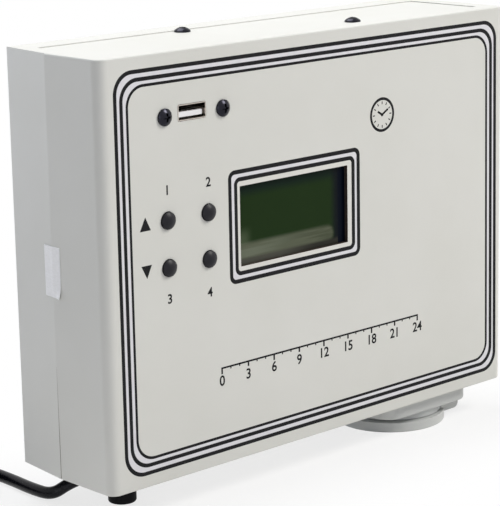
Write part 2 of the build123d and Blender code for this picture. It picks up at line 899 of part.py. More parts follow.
with BuildPart() as lcd_ribbon:
    # A flat cable that hangs in a bow between the display's board and the header
    ribbon_start = lcd_board_front + board_thickness
    ribbon_end = main_front - header_size[2]
    ribbon_middle = (ribbon_start + ribbon_end) / 2
    with BuildSketch(upright(lcd_x - header_size[0] / 2 + ribbon_thickness)):
        with BuildLine():
            under = ThreePointArc(
                (ribbon_start, header_height), (ribbon_middle, header_height - ribbon_sag), (ribbon_end, header_height)
            )
            over = ThreePointArc(
                (ribbon_start, header_height + ribbon_thickness),
                (ribbon_middle, header_height - ribbon_sag + ribbon_thickness),
                (ribbon_end, header_height + ribbon_thickness),
            )
            Line(under @ 0, over @ 0)
            Line(under @ 1, over @ 1)
        make_face()
    extrude(amount=header_size[0] - 2 * ribbon_thickness)
lcd_ribbon.part.label = "lcd_ribbon"
export_step(lcd_ribbon.part, "parts/lcd_ribbon.step")

with BuildPart() as usb_lead:
    lead_end = main_low + main_height - main_hole_inset
    lead_turn = main_front - lead_end_run - lead_bend
    tube(
        [
            (port_x, deep(port_body_depth), up(port_height)),
            (port_x, deep(lead_turn), up(port_height)),
            (port_x, deep(lead_turn), up(lead_end)),
            (port_x, deep(main_front), up(lead_end)),
        ],
        lead_bend,
        lead_diameter,
    )
usb_lead.part.label = "usb_lead"
export_step(usb_lead.part, "parts/usb_lead.step")

# ---------------------------------------------------------------- supply board under the top panel

with BuildPart() as supply_board:
    with BuildSketch(level(supply_low)):
        with Locations((supply_x, supply_d)):
            Rectangle(supply_width, supply_depth)
        with Locations(*supply_places):
            Circle(screw_hole, mode=Mode.SUBTRACT)
    extrude(amount=board_thickness)
supply_board.part.label = "supply_board"
export_step(supply_board.part, "parts/supply_board.step")

with BuildPart() as supply_spacers:
    with BuildSketch(level(supply_top)):
        with Locations(*supply_places):
            Circle(spacer_diameter / 2)
            Circle(screw_hole, mode=Mode.SUBTRACT)
    extrude(amount=spacer_height)
supply_spacers.part.label = "supply_spacers"
export_step(supply_spacers.part, "parts/supply_spacers.step")

with BuildPart() as supply_screws:
    for place in supply_places:
        seat = Plane((place[0], deep(place[1]), up(panel_top)))
        grip = panel_rise + panel_thickness + spacer_height + board_thickness + nut_height
        pan_screw(seat, grip + screw_fit, screw_diameter, head_diameter, head_height, head_edge)
        cross_recess(seat, head_height)
supply_screws.part.label = "supply_screws"
export_step(supply_screws.part, "parts/supply_screws.step")

with BuildPart() as transformer:
    block(
        (
            supply_x - transformer_size[0] / 2,
            supply_d - transformer_size[1] / 2,
            supply_low - transformer_size[2],
        ),
        (supply_x + transformer_size[0] / 2, supply_d + transformer_size[1] / 2, supply_low),
    )
    fillet(transformer.edges().filter_by(Axis.Z), component_edge)
transformer.part.label = "transformer"
export_step(transformer.part, "parts/transformer.step")

smoothing_x = supply_x + supply_width / 2 - smoothing_diameter
with BuildPart() as supply_capacitor:
    with BuildSketch(level(supply_low)):
        with Locations((smoothing_x, supply_d + supply_depth / 4)):
            Circle(smoothing_diameter / 2)
    extrude(amount=-smoothing_height)
    fillet(supply_capacitor.edges().group_by(Axis.Z)[0], component_edge)
supply_capacitor.part.label = "supply_capacitor"
export_step(supply_capacitor.part, "parts/supply_capacitor.step")

with BuildPart() as supply_wires:
    for shift in (-wire_diameter, wire_diameter):
        tube(
            [
                (smoothing_x + shift, deep(supply_d), up(supply_low)),
                (smoothing_x + shift, deep(supply_d), up(main_h + main_height / 4)),
                (smoothing_x + shift, deep(main_front), up(main_h + main_height / 4)),
            ],
            wire_bend,
            wire_diameter,
        )
supply_wires.part.label = "supply_wires"
export_step(supply_wires.part, "parts/supply_wires.step")

# ---------------------------------------------------------------- outlet

with BuildPart() as socket_body:
    with BuildSketch(level(-flange_thickness)):
        with Locations(outlet):
            RectangleRounded(flange_width, flange_depth, flange_corner)
    extrude(amount=flange_thickness)
    fillet(socket_body.faces().sort_by(Axis.Z)[0].edges(), flange_edge)
    with BuildSketch(level(collar_low)):
        with Locations(outlet):
            Circle(barrel_diameter / 2)
    extrude(amount=barrel_height - collar_low)
    # Two ears for the lid's hinge pin
    for side in (-1, 1):
        ear_middle = outlet_depth + side * (ear_span - ear_thickness) / 2
        block(
            (outlet_x + ear_from_middle, ear_middle - ear_thickness / 2, -flange_thickness - ear_height),
            (outlet_x + ear_from_middle + ear_width, ear_middle + ear_thickness / 2, -flange_thickness),
        )
    ears_low = socket_body.edges().filter_by(Axis.Y).group_by(Axis.Z)[0].group_by(Axis.X)
    fillet(ears_low[-1], ear_outer_round)
    fillet(ears_low[0], ear_round)
    # The collar is cut back between the ears, where the lid's knuckles turn
    block(
        (hinge_x - knuckle_diameter / 2 - knuckle_gap, ear_gap_start, collar_low),
        (outlet_x + barrel_diameter / 2, 2 * outlet_depth - ear_gap_start, -flange_thickness),
        mode=Mode.SUBTRACT,
    )
    ear_low = -flange_thickness - ear_height
    with BuildSketch(level(ear_low)):
        with Locations(outlet):
            Circle(well_diameter / 2)
    extrude(amount=barrel_height - barrel_cap - ear_low, mode=Mode.SUBTRACT)
    with BuildSketch(level(barrel_height)):
        with Locations(outlet):
            with GridLocations(pin_pitch, 0, 2, 1):
                Circle(wire_diameter / 2 + screw_fit)
    extrude(amount=-barrel_cap, mode=Mode.SUBTRACT)
    with BuildSketch(facing(outlet_depth - ear_span / 2)):
        with Locations((hinge_x, -hinge_drop)):
            Circle(hinge_pin / 2 + hinge_fit)
    extrude(amount=-ear_span, mode=Mode.SUBTRACT)
socket_body.part.label = "socket_body"
export_step(socket_body.part, "parts/socket_body.step")

with BuildPart() as socket_ring:
    # The nut ring that clamps the outlet to the case from inside
    with BuildSketch(level(rim_height)):
        with Locations(outlet):
            Circle(ring_diameter / 2)
            Circle(barrel_diameter / 2 + ring_fit, mode=Mode.SUBTRACT)
    extrude(amount=ring_height)
socket_ring.part.label = "socket_ring"
export_step(socket_ring.part, "parts/socket_ring.step")

with BuildPart() as socket_insert:
    insert_top = barrel_height - barrel_cap
    with BuildSketch(level(well_height)):
        with Locations(outlet):
            Circle(well_diameter / 2 - insert_fit)
            with GridLocations(pin_pitch, 0, 2, 1):
                Circle(pin_hole / 2, mode=Mode.SUBTRACT)
    extrude(amount=insert_top - well_height)
    with BuildSketch(level(sleeve_low)):
        with Locations(outlet):
            with GridLocations(pin_pitch, 0, 2, 1):
                Circle(sleeve_diameter / 2 + insert_fit)
    extrude(amount=insert_top - sleeve_low, mode=Mode.SUBTRACT)
socket_insert.part.label = "socket_insert"
export_step(socket_insert.part, "parts/socket_insert.step")

with BuildPart() as contact_sleeves:
    with BuildSketch(level(sleeve_low)):
        with Locations(outlet):
            with GridLocations(pin_pitch, 0, 2, 1):
                Circle(sleeve_diameter / 2)
    extrude(amount=sleeve_high - sleeve_low)
    with BuildSketch(level(sleeve_low)):
        with Locations(outlet):
            with GridLocations(pin_pitch, 0, 2, 1):
                Circle(sleeve_bore / 2)
    extrude(amount=sleeve_high - sleeve_low - sleeve_closed, mode=Mode.SUBTRACT)
contact_sleeves.part.label = "contact_sleeves"
export_step(contact_sleeves.part, "parts/contact_sleeves.step")

with BuildPart() as earth_clips:
    # Two spring clips on the well's wall, across from the pins
    clip_place = math.sqrt((well_diameter / 2) ** 2 - (clip_width / 2) ** 2) - clip_gap - clip_thickness / 2
    with BuildSketch(level(well_height)):
        with Locations(outlet):
            with GridLocations(0, 2 * clip_place, 1, 2):
                Rectangle(clip_width, clip_thickness)
    extrude(amount=-clip_height)
earth_clips.part.label = "earth_clips"
export_step(earth_clips.part, "parts/earth_clips.step")

with BuildPart() as socket_lid:
    lid_middle = (outlet_x - lid_shift, outlet_depth)
    with BuildSketch(level(lid_low)):
        with Locations(lid_middle):
            Circle(lid_diameter / 2)
    extrude(amount=lid_thickness)
    fillet(socket_lid.edges().group_by(Axis.Z)[0], lid_edge)
    with BuildSketch(level(lid_high)):
        with Locations(lid_middle):
            Circle(lid_recess / 2)
    extrude(amount=lid_skin - lid_thickness, mode=Mode.SUBTRACT)
    # Notches beside the hinge, where the ears stand
    for near, far in ((outlet_depth - lid_diameter, knuckle_start), (knuckle_end, outlet_depth + lid_diameter)):
        block((hinge_x - lid_notch, near, lid_low), (outlet_x + lid_diameter, far, lid_high), mode=Mode.SUBTRACT)
    # Two knuckles on the pin, with room for the spring between them
    with BuildSketch(facing(knuckle_start)):
        with Locations((hinge_x, -hinge_drop)):
            Circle(knuckle_diameter / 2)
    extrude(amount=knuckle_start - knuckle_end)
    with BuildSketch(facing(knuckle_start + knuckle_length)):
        with Locations((hinge_x, -hinge_drop)):
            Circle(knuckle_diameter / 2 + knuckle_gap)
    extrude(amount=knuckle_start - knuckle_end + 2 * knuckle_length, mode=Mode.SUBTRACT)
    with BuildSketch(facing(knuckle_start)):
        with Locations((hinge_x, -hinge_drop)):
            Circle(hinge_pin / 2 + hinge_fit)
    extrude(amount=knuckle_start - knuckle_end, mode=Mode.SUBTRACT)
socket_lid.part.label = "socket_lid"
export_step(socket_lid.part, "parts/socket_lid.step")

with BuildPart() as lid_pin:
    with BuildSketch(facing(outlet_depth - ear_span / 2)):
        with Locations((hinge_x, -hinge_drop)):
            Circle(hinge_pin / 2)
    extrude(amount=-ear_span)
lid_pin.part.label = "lid_pin"
export_step(lid_pin.part, "parts/lid_pin.step")

with BuildPart() as lid_spring:
    # The closing spring, wound round the pin between the knuckles
    spring_start = knuckle_start + knuckle_length + knuckle_gap + spring_wire / 2
    spring_length = 2 * (outlet_depth - spring_start)
    with BuildLine():
        coil = Helix(
            spring_length / spring_turns,
            spring_length,
            spring_mean / 2,
            center=(hinge_x, deep(spring_start), up(-hinge_drop)),
            direction=(0, 1, 0),
        )
    with BuildSketch(Plane(coil @ 0, z_dir=coil % 0)):
        Circle(spring_wire / 2)
    sweep(path=coil, is_frenet=True)
lid_spring.part.label = "lid_spring"
export_step(lid_spring.part, "parts/lid_spring.step")

with BuildPart() as socket_wires:
    # From the two contact sleeves to the terminal block; the second passes over the first
    block_top = terminal_h + terminal_size[1] / 2
    block_depth = main_front - terminal_size[2] / 2
    for side, order in ((-1, 1), (1, 2)):
        start_x = outlet_x + side * pin_pitch / 2
        end_x = terminal_x + terminal_size[0] / 2 - 2 * order * wire_diameter
        over = barrel_height + wire_bend * (1 + order)
        tube(
            [
                (start_x, deep(outlet_depth), up(sleeve_high)),
                (start_x, deep(outlet_depth), up(over)),
                (end_x, deep(block_depth), up(over)),
                (end_x, deep(block_depth), up(block_top)),
            ],
            wire_bend,
            wire_diameter,
        )
socket_wires.part.label = "socket_wires"
export_step(socket_wires.part, "parts/socket_wires.step")

# ---------------------------------------------------------------- foot and nuts

foot_seat = foot_counterbore_depth - stand_height
panel_low_inside = panel_low + panel_thickness
with BuildPart() as rubber_foot:
    with BuildSketch(level(-stand_height)):
        with Locations(foot):
            Circle(foot_diameter / 2)
    extrude(amount=stand_height + panel_low)
    fillet(rubber_foot.edges().group_by(Axis.Z)[0], foot_round)
    with BuildSketch(level(-stand_height)):
        with Locations(foot):
            Circle(foot_counterbore / 2)
    extrude(amount=foot_counterbore_depth, mode=Mode.SUBTRACT)
    with BuildSketch(level(-stand_height)):
        with Locations(foot):
            Circle(screw_hole)
    extrude(amount=stand_height + panel_low, mode=Mode.SUBTRACT)
rubber_foot.part.label = "rubber_foot"
export_step(rubber_foot.part, "parts/rubber_foot.step")

with BuildPart() as foot_screw:
    seat = Plane((foot[0], deep(foot[1]), up(foot_seat)), x_dir=(1, 0, 0), z_dir=(0, 0, -1))
    grip = panel_low_inside - foot_seat + nut_height
    pan_screw(seat, grip + screw_fit, screw_diameter, head_diameter, head_height, head_edge)
    cross_recess(seat, head_height)
foot_screw.part.label = "foot_screw"
export_step(foot_screw.part, "parts/foot_screw.step")

with BuildPart() as hex_nuts:
    for place in supply_places:
        hex_nut(Plane((place[0], deep(place[1]), up(supply_low)), x_dir=(1, 0, 0), z_dir=(0, 0, -1)))
    for place in port_screws:
        ear_back = deep(wall + port_ear_thickness)
        hex_nut(Plane((place[0], ear_back, up(place[1])), x_dir=(1, 0, 0), z_dir=(0, 1, 0)))
    hex_nut(Plane((foot[0], deep(foot[1]), up(panel_low_inside))))
hex_nuts.part.label = "hex_nuts"
export_step(hex_nuts.part, "parts/hex_nuts.step")

# ---------------------------------------------------------------- mains cord

with BuildPart() as cord_bushing:
    with BuildSketch(level(bushing_low)):
        with Locations(bushing):
            Circle(bushing_flange / 2)
    extrude(amount=bushing_flange_thickness)
    fillet(cord_bushing.edges().group_by(Axis.Z)[0], bushing_edge)
    with BuildSketch(level(panel_low)):
        with Locations(bushing):
            Circle(bushing_body / 2)
    extrude(amount=panel_thickness + bushing_height)
cord_bushing.part.label = "cord_bushing"
export_step(cord_bushing.part, "parts/cord_bushing.step")

with BuildPart() as inner_lead:
    bushing_top = panel_low_inside + bushing_height
    lead_level = (bushing_top + main_low) / 2 + cord_diameter / 2
    entry = (terminal_x - terminal_size[0] / 4, deep(block_depth))
    tube(
        [
            (bushing[0], deep(bushing[1]), up(bushing_top)),
            (bushing[0], deep(bushing[1]), up(lead_level)),
            (*entry, up(lead_level)),
            (*entry, up(terminal_h - terminal_size[1] / 2)),
        ],
        cord_diameter,
        cord_diameter,
    )
inner_lead.part.label = "inner_lead"
export_step(inner_lead.part, "parts/inner_lead.step")

coil_outer_turn = coil_mean_radius + (coil_columns - 1) / 2 * cord_diameter
coil_middle = (across(cord_route[-1][0]) - coil_outer_turn, cord_route[-1][1])
plug_x = coil_middle[0] - coil_outer_turn
plug_height = plug_thickness / 2 - stand_height
route = [Vector(across(x), deep(depth), up(height)) for x, depth, height in cord_route]
bends = []
for before, corner, after in zip(route, route[1:], route[2:]):
    shorter = min((corner - before).length, (after - corner).length)
    turn = math.radians((corner - before).get_angle(after - corner))
    bends.append(0.45 * shorter / math.tan(turn / 2))
print("cord bend radii:", [round(bend, 1) for bend in bends])

with BuildPart() as mains_cord:
    with BuildLine():
        run = FilletPolyline(*route, radius=bends)
    with BuildSketch(Plane(run @ 0, z_dir=run % 0)):
        Circle(cord_diameter / 2)
    sweep(path=run)
    # The short end between the coil and the plug
    with BuildSketch(Plane((plug_x, deep(coil_middle[1]), up(plug_height)), x_dir=(1, 0, 0), z_dir=(0, -1, 0))):
        Circle(cord_diameter / 2)
    extrude(amount=coil_middle[1] - plug_start)
mains_cord.part.label = "mains_cord"
export_step(mains_cord.part, "parts/mains_cord.step")
tail_length = coil_middle[1] - plug_start
section = math.pi * cord_diameter**2 / 4
print("cord tube volume over section times length:", mains_cord.part.volume / (section * (run.length + tail_length)))
# The last turn is a half one, so the short end leaves the coil on the side away from the case
coil_length = coil_rows * coil_columns * 2 * math.pi * coil_mean_radius - math.pi * coil_outer_turn
print("whole cord:", round(run.length + tail_length + coil_length), "mm")

with BuildPart() as mains_cord_coil:
    with BuildSketch(level(-stand_height)):
        with Locations(coil_middle):
            Circle(coil_mean_radius + coil_columns / 2 * cord_diameter)
            Circle(coil_mean_radius - coil_columns / 2 * cord_diameter, mode=Mode.SUBTRACT)
    extrude(amount=coil_rows * cord_diameter)
    fillet(mains_cord_coil.edges().filter_by(GeomType.CIRCLE), coil_edge)
mains_cord_coil.part.label = "mains_cord_coil"
export_step(mains_cord_coil.part, "parts/mains_cord_coil.step")

plug_back = plug_start - relief_length
plug_face = plug_back - plug_length
with BuildPart() as plug_body:
    with BuildSketch(level(-stand_height)):
        with BuildLine():
            Polyline(
                (plug_x - plug_tail / 2, plug_back),
                (plug_x - plug_width / 2, plug_face + plug_shoulder),
                (plug_x - plug_width / 2, plug_face),
                (plug_x + plug_width / 2, plug_face),
                (plug_x + plug_width / 2, plug_face + plug_shoulder),
                (plug_x + plug_tail / 2, plug_back),
                close=True,
            )
        make_face()
    extrude(amount=plug_thickness)
    fillet(plug_body.edges().filter_by(Axis.Z), plug_edge)
    with BuildSketch(Plane((plug_x, deep(plug_back), up(plug_height)), x_dir=(1, 0, 0), z_dir=(0, 1, 0))):
        Circle(relief_diameter / 2)
    extrude(amount=relief_length)
plug_body.part.label = "plug_body"
export_step(plug_body.part, "parts/plug_body.step")

with BuildPart() as plug_pins:
    with BuildSketch(Plane((plug_x, deep(plug_face), up(plug_height)), x_dir=(1, 0, 0), z_dir=(0, -1, 0))):
        with GridLocations(plug_pin_pitch, 0, 2, 1):
            Circle(plug_pin_diameter / 2)
    extrude(amount=plug_pin_length)
    fillet(plug_pins.edges().group_by(Axis.Y)[0], plug_pin_diameter / 4)
plug_pins.part.label = "plug_pins"
export_step(plug_pins.part, "parts/plug_pins.step")
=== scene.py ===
import json
import math

import bmesh
import bpy
import numpy as np
from mathutils import Euler, Matrix, Vector


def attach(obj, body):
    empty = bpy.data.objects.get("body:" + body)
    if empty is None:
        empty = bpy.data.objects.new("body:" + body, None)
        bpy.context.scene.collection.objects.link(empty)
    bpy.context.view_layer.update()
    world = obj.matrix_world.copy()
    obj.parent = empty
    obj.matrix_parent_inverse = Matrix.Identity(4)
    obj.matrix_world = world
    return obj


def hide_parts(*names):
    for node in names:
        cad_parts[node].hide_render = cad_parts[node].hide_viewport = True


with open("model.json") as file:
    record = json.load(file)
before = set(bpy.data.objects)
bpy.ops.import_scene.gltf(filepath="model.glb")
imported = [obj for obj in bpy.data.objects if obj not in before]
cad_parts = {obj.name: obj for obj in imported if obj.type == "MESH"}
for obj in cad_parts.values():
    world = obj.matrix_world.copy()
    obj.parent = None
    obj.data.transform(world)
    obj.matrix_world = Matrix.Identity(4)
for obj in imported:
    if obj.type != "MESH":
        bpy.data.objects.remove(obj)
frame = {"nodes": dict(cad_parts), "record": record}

MM = 0.001
nodes = frame["nodes"]
scene = bpy.context.scene
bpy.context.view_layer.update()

# The case in mm: the plane of its face, its left wall, the joint of its shells as a depth behind the
# face, the step inwards there, and how much the rear wall leans in for each mm of depth
face_y = -27.0
wall_x = -105.0
joint_depth = 29.5
joint_step = 0.3
rear_lean = 3.0 / 24.5


# ---------------------------------------------------------------- camera
camera_lens = bpy.data.cameras.new("camera")
camera_lens.sensor_width = 36.0
camera_lens.lens = 147.86
camera_lens.clip_start = 0.02
camera_lens.clip_end = 40.0
camera = bpy.data.objects.new("camera", camera_lens)
camera.location = (-0.539314, -0.570522, 0.260420)
camera.rotation_euler = Euler([math.radians(turn) for turn in (77.09228, 1.074683, -42.98873)], "XYZ")
scene.collection.objects.link(camera)
scene.camera = camera
scene.view_settings.view_transform = "Standard"


# ---------------------------------------------------------------- small tools
def linear(colour):
    """Linear light of an sRGB hex colour, with full cover."""
    channels = np.array([int(colour[place:place + 2], 16) for place in (1, 3, 5)]) / 255
    bright = ((channels + 0.055) / 1.055) ** 2.4
    return (*np.where(channels <= 0.04045, channels / 12.92, bright).tolist(), 1.0)


def add(tree, kind, inputs=None, **settings):
    """Adds a shader node with its settings, and sets or links each of the inputs named."""
    node = tree.nodes.new("ShaderNode" + kind)
    for name, value in settings.items():
        setattr(node, name, value)
    for name, value in (inputs or {}).items():
        if isinstance(value, bpy.types.NodeSocket):
            tree.links.new(value, node.inputs[name])
        else:
            node.inputs[name].default_value = value
    return node


def start(name, colour, roughness, **uniform):
    """A new material with its shader, the values that are the same all over, and Object coordinates."""
    material = bpy.data.materials.new(name)
    material.use_nodes = True
    tree = material.node_tree
    tree.nodes.clear()
    values = {"Base Color": linear(colour), "Roughness": roughness}
    values.update({words.replace("_", " "): value for words, value in uniform.items()})
    shader = add(tree, "BsdfPrincipled", values)
    add(tree, "OutputMaterial", {"Surface": shader.outputs["BSDF"]})
    place = add(tree, "TexCoord").outputs["Object"]
    return material, tree, shader, place


def blend(tree, share, low, high):
    """A colour that goes from one to another as the share goes from 0 to 1."""
    return add(tree, "Mix", {0: share, 6: low, 7: high}, data_type="RGBA").outputs[2]


def coat(tree, shader, colour, relief):
    """Links a colour that varies, and a fine relief that only the light on the surface shows."""
    tree.links.new(colour, shader.inputs["Base Color"])
    tree.links.new(add(tree, "Bump", relief).outputs[0], shader.inputs["Normal"])


def seen_rays(tree):
    """The kinds of ray, and a share that is 1 on those that show a thing itself, also in gloss and
    through glass."""
    rays = add(tree, "LightPath")
    straight = {0: rays.outputs["Is Camera Ray"], 1: rays.outputs["Is Glossy Ray"]}
    seen = add(tree, "Math", straight, operation="MAXIMUM")
    through = {0: seen.outputs[0], 1: rays.outputs["Is Transmission Ray"]}
    return rays, add(tree, "Math", through, operation="MAXIMUM").outputs[0]


def skin(name, points, around=False, across=False, smooth=True):
    """A piece from sheets of points, each rows by columns: four neighbours make a face. Around joins the
    last row to the first, and across the last column to the first. Points in mm become metres."""
    sheets, rows, columns = points.shape[:3]
    sheet = np.arange(sheets)[:, None, None] * rows * columns
    row = np.arange(rows if around else rows - 1)[None, :, None]
    column = np.arange(columns if across else columns - 1)[None, None, :]
    next_row = (row + 1) % rows * columns
    next_column = (column + 1) % columns
    corners = (
        sheet + row * columns + column,
        sheet + next_row + column,
        sheet + next_row + next_column,
        sheet + row * columns + next_column,
    )
    quads = np.stack(np.broadcast_arrays(*corners), axis=-1).reshape(-1, 4)
    mesh = bpy.data.meshes.new(name)
    mesh.from_pydata((points.reshape(-1, 3) * MM).tolist(), [], quads.tolist())
    return settle(name, mesh, smooth)


def settle(name, mesh, smooth):
    """Merges the doubles at seams and poles, turns all faces outwards, and links the piece."""
    same_place = 1e-7
    no_length = 1e-8
    work = bmesh.new()
    work.from_mesh(mesh)
    bmesh.ops.remove_doubles(work, verts=work.verts, dist=same_place)
    bmesh.ops.dissolve_degenerate(work, edges=work.edges, dist=no_length)
    bmesh.ops.recalc_face_normals(work, faces=work.faces)
    work.to_mesh(mesh)
    work.free()
    mesh.polygons.foreach_set("use_smooth", np.full(len(mesh.polygons), smooth))
    piece = bpy.data.objects.new(name, mesh)
    scene.collection.objects.link(piece)
    return piece


def dress(piece, material, body):
    """Gives a new piece its material and the body that it rides on."""
    piece.data.materials.clear()
    piece.data.materials.append(material)
    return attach(piece, body)


# ---------------------------------------------------------------- finishes
def moulded_plastic(name, colour, tone, roughness, grain, depth, specular=0.5):
    """Injection-moulded plastic. The melt's flow leaves a cloudy change of tone a few centimetres wide,
    and the mould's spark-eroded wall leaves grains, in mm, that scatter the highlight."""
    material, tree, shader, place = start(name, colour, roughness, IOR=1.53, Specular_IOR_Level=specular)
    cloud_size = 0.040
    cloud_share = 0.75
    gloss_change = 0.06
    broad = {"Vector": place, "Scale": 1 / cloud_size, "Detail": 3.0, "Roughness": 0.5}
    flow = add(tree, "TexNoise", broad)
    cloud = add(tree, "MapRange", {"Value": flow.outputs["Fac"], "From Min": 0.35, "From Max": 0.65})
    fine = {"Vector": place, "Scale": 1000 / grain, "Detail": 2.0, "Roughness": 0.6}
    grains = add(tree, "TexNoise", fine)
    speck = add(tree, "MapRange", {"Value": grains.outputs["Fac"], "From Min": 0.3, "From Max": 0.7})
    part = add(tree, "Math", {0: cloud.outputs[0], 1: cloud_share}, operation="MULTIPLY")
    rest = {0: speck.outputs[0], 1: 1 - cloud_share, 2: part.outputs[0]}
    both = add(tree, "Math", rest, operation="MULTIPLY_ADD")
    span = {"To Min": roughness - gloss_change, "To Max": roughness + gloss_change}
    gloss = add(tree, "MapRange", {"Value": speck.outputs[0], **span})
    tree.links.new(gloss.outputs[0], shader.inputs["Roughness"])
    relief = {"Height": grains.outputs["Fac"], "Distance": depth * MM, "Strength": 1.0}
    coat(tree, shader, blend(tree, both.outputs[0], linear(colour), linear(tone)), relief)
    return material


def plated_steel(name, colour, tone, roughness, grain, stretch=(1.0, 1.0, 1.0)):
    """Plated or blackened steel: metal with fine drawing lines or speckle, in mm, and small uneven spots
    where the plating is duller."""
    material, tree, shader, place = start(name, colour, roughness, Metallic=1.0)
    turned = add(tree, "Mapping", {"Vector": place, "Scale": stretch})
    lines = add(tree, "TexNoise", {"Vector": turned.outputs[0], "Scale": 1000 / grain, "Detail": 3.0})
    spot_size = 0.0021
    spots = add(tree, "TexNoise", {"Vector": place, "Scale": 1 / spot_size, "Detail": 2.0})
    drawn = {"Value": lines.outputs["Fac"], "From Min": 0.3, "From Max": 0.7}
    span = {"To Min": roughness - 0.07, "To Max": roughness + 0.09}
    gloss = add(tree, "MapRange", {**drawn, **span})
    tree.links.new(gloss.outputs[0], shader.inputs["Roughness"])
    relief = {"Height": lines.outputs["Fac"], "Distance": 0.004 * MM}
    coat(tree, shader, blend(tree, spots.outputs["Fac"], linear(colour), linear(tone)), relief)
    return material


def screen_ink(name, colour, tone, roughness, specular):
    """Screen-print ink, a film of lacquer: the threads of the screen leave it faintly uneven, and thin
    places let a little of the ground through."""
    material, tree, shader, place = start(name, colour, roughness, IOR=1.49, Specular_IOR_Level=specular)
    thread_pitch = 0.25
    thin_size = 0.006
    weave = add(tree, "TexVoronoi", {"Vector": place, "Scale": 1000 / thread_pitch})
    thin = add(tree, "TexNoise", {"Vector": place, "Scale": 1 / thin_size, "Detail": 4.0})
    cover = add(tree, "MapRange", {"Value": thin.outputs["Fac"], "From Min": 0.4, "From Max": 0.75})
    relief = {"Height": weave.outputs["Distance"], "Distance": 0.006 * MM, "Strength": 0.6}
    coat(tree, shader, blend(tree, cover.outputs[0], linear(colour), linear(tone)), relief)
    return material


# Moulded ABS of an instrument case: warm light grey, satin, with a fine even grain
case_abs = moulded_plastic("moulded_abs_light_grey", "#D9D9D5", "#D5D5D0", 0.5, 0.32, 0.010, 0.4)
# Moulded polyamide of a panel outlet: cooler grey and a little glossier than the case
outlet_polyamide = moulded_plastic("moulded_polyamide_grey", "#C9CBCA", "#C2C4C3", 0.4, 0.5, 0.006, 0.4)
# Moulded charcoal keycaps, satin from the mould and smooth to the finger
key_abs = moulded_plastic("moulded_abs_charcoal", "#222127", "#1B1A20", 0.4, 0.3, 0.012, 0.2)
# Natural white polyester of connector tongues and housings
white_polyester = moulded_plastic("moulded_polyester_white", "#F6F6F8", "#EEEEF1", 0.34, 0.4, 0.004)
# Black glass-filled polyester of headers, chips and bushings
black_polyester = moulded_plastic("moulded_polyester_black", "#1B1B1D", "#242426", 0.42, 0.35, 0.010, 0.3)
# Coloured mouldings on the boards: smooth and fairly glossy
relay_case = moulded_plastic("moulded_polyester_blue", "#1E4E98", "#1A4485", 0.3, 0.5, 0.004)
terminal_case = moulded_plastic("moulded_polyamide_green", "#2B7A43", "#256B3A", 0.34, 0.5, 0.004)
spacer_nylon = moulded_plastic("moulded_nylon_natural", "#E4E2D6", "#D8D5C6", 0.4, 0.6, 0.004)
diffuser_acrylic = moulded_plastic("moulded_acrylic_yellow_green", "#C7D97A", "#B9CE66", 0.3, 0.8, 0.004)
# Vulcanised rubber foot: nearly black, dull, with a trace of bloom
foot_rubber = moulded_plastic("vulcanised_rubber_black", "#101012", "#161618", 0.62, 0.4, 0.020, 0.1)
# Extruded PVC sheaths: satin black mains lead, brown inner wires, grey ribbon
cord_pvc = moulded_plastic("extruded_pvc_black", "#0F0F15", "#14141A", 0.28, 1.2, 0.012, 0.16)
wire_pvc = moulded_plastic("extruded_pvc_brown", "#5E3A24", "#513120", 0.36, 0.9, 0.008)
ribbon_pvc = moulded_plastic("extruded_pvc_grey", "#8E8E90", "#86868A", 0.4, 0.9, 0.008)

# Black oxide on the screws, zinc and nickel plating, and bare brass: smooth metal with duller spots
black_screw = plated_steel("black_oxide_steel", "#232329", "#303037", 0.2, 0.25)
zinc_steel = plated_steel("zinc_plated_steel", "#B9BBBE", "#A4A7AC", 0.3, 0.3)
nickel_steel = plated_steel("nickel_plated_steel", "#CFC8C0", "#BDB4AB", 0.2, 0.25, (0.12, 1.0, 1.0))
brass_sheet = plated_steel("bright_brass", "#D8B65C", "#B98F3E", 0.24, 0.3)
# Plating of the port's contacts, coloured dark as painted shade for the shade inside the port's shell
contacts_painted_shade = plated_steel("contact_plating_painted_shade", "#3A3330", "#2A2522", 0.3, 0.2)

# Inks of the face: dull black for lines and figures, and two whites that print the ground under them
line_ink = screen_ink("screen_print_ink_black", "#19191B", "#1F1F21", 0.6, 0.12)
lilac_ink = screen_ink("screen_print_ink_lilac_white", "#DEDDE2", "#DAD9DE", 0.5, 0.3)
warm_ink = screen_ink("screen_print_ink_warm_white", "#DDDCD8", "#D9D8D3", 0.5, 0.3)
# Brown-black painted shade on the window's cut edge, and a thin grey-brown line at the shells' joint
edge_shade_ink = screen_ink("painted_shade_brown_black", "#3A322D", "#453B35", 0.6, 0.12)
joint_line_ink = screen_ink("dark_line_in_case_joint", "#7C756B", "#867F75", 0.7, 0.1)
# Dark glass and clear film of the display mirror very little of the room
display_gloss = {"IOR": 1.5, "Specular_IOR_Level": 0.04}


def label_paper():
    """Matt label paper: fibres that lie mostly one way make a soft relief and faint greyer flecks."""
    material, tree, shader, place = start("matt_label_paper", "#FAFAFC", 0.72, IOR=1.45)
    fibre_pitch = 0.6
    laid = add(tree, "Mapping", {"Vector": place, "Scale": (1.0, 0.35, 1.0)})
    pulp = {"Vector": laid.outputs[0], "Scale": 1000 / fibre_pitch, "Detail": 5.0, "Roughness": 0.7}
    fibre = add(tree, "TexNoise", pulp)
    fleck = add(tree, "MapRange", {"Value": fibre.outputs["Fac"], "From Min": 0.35, "From Max": 0.7})
    relief = {"Height": fibre.outputs["Fac"], "Distance": 0.02 * MM}
    coat(tree, shader, blend(tree, fleck.outputs[0], linear("#FCFCFE"), linear("#F1F1F1")), relief)
    return material


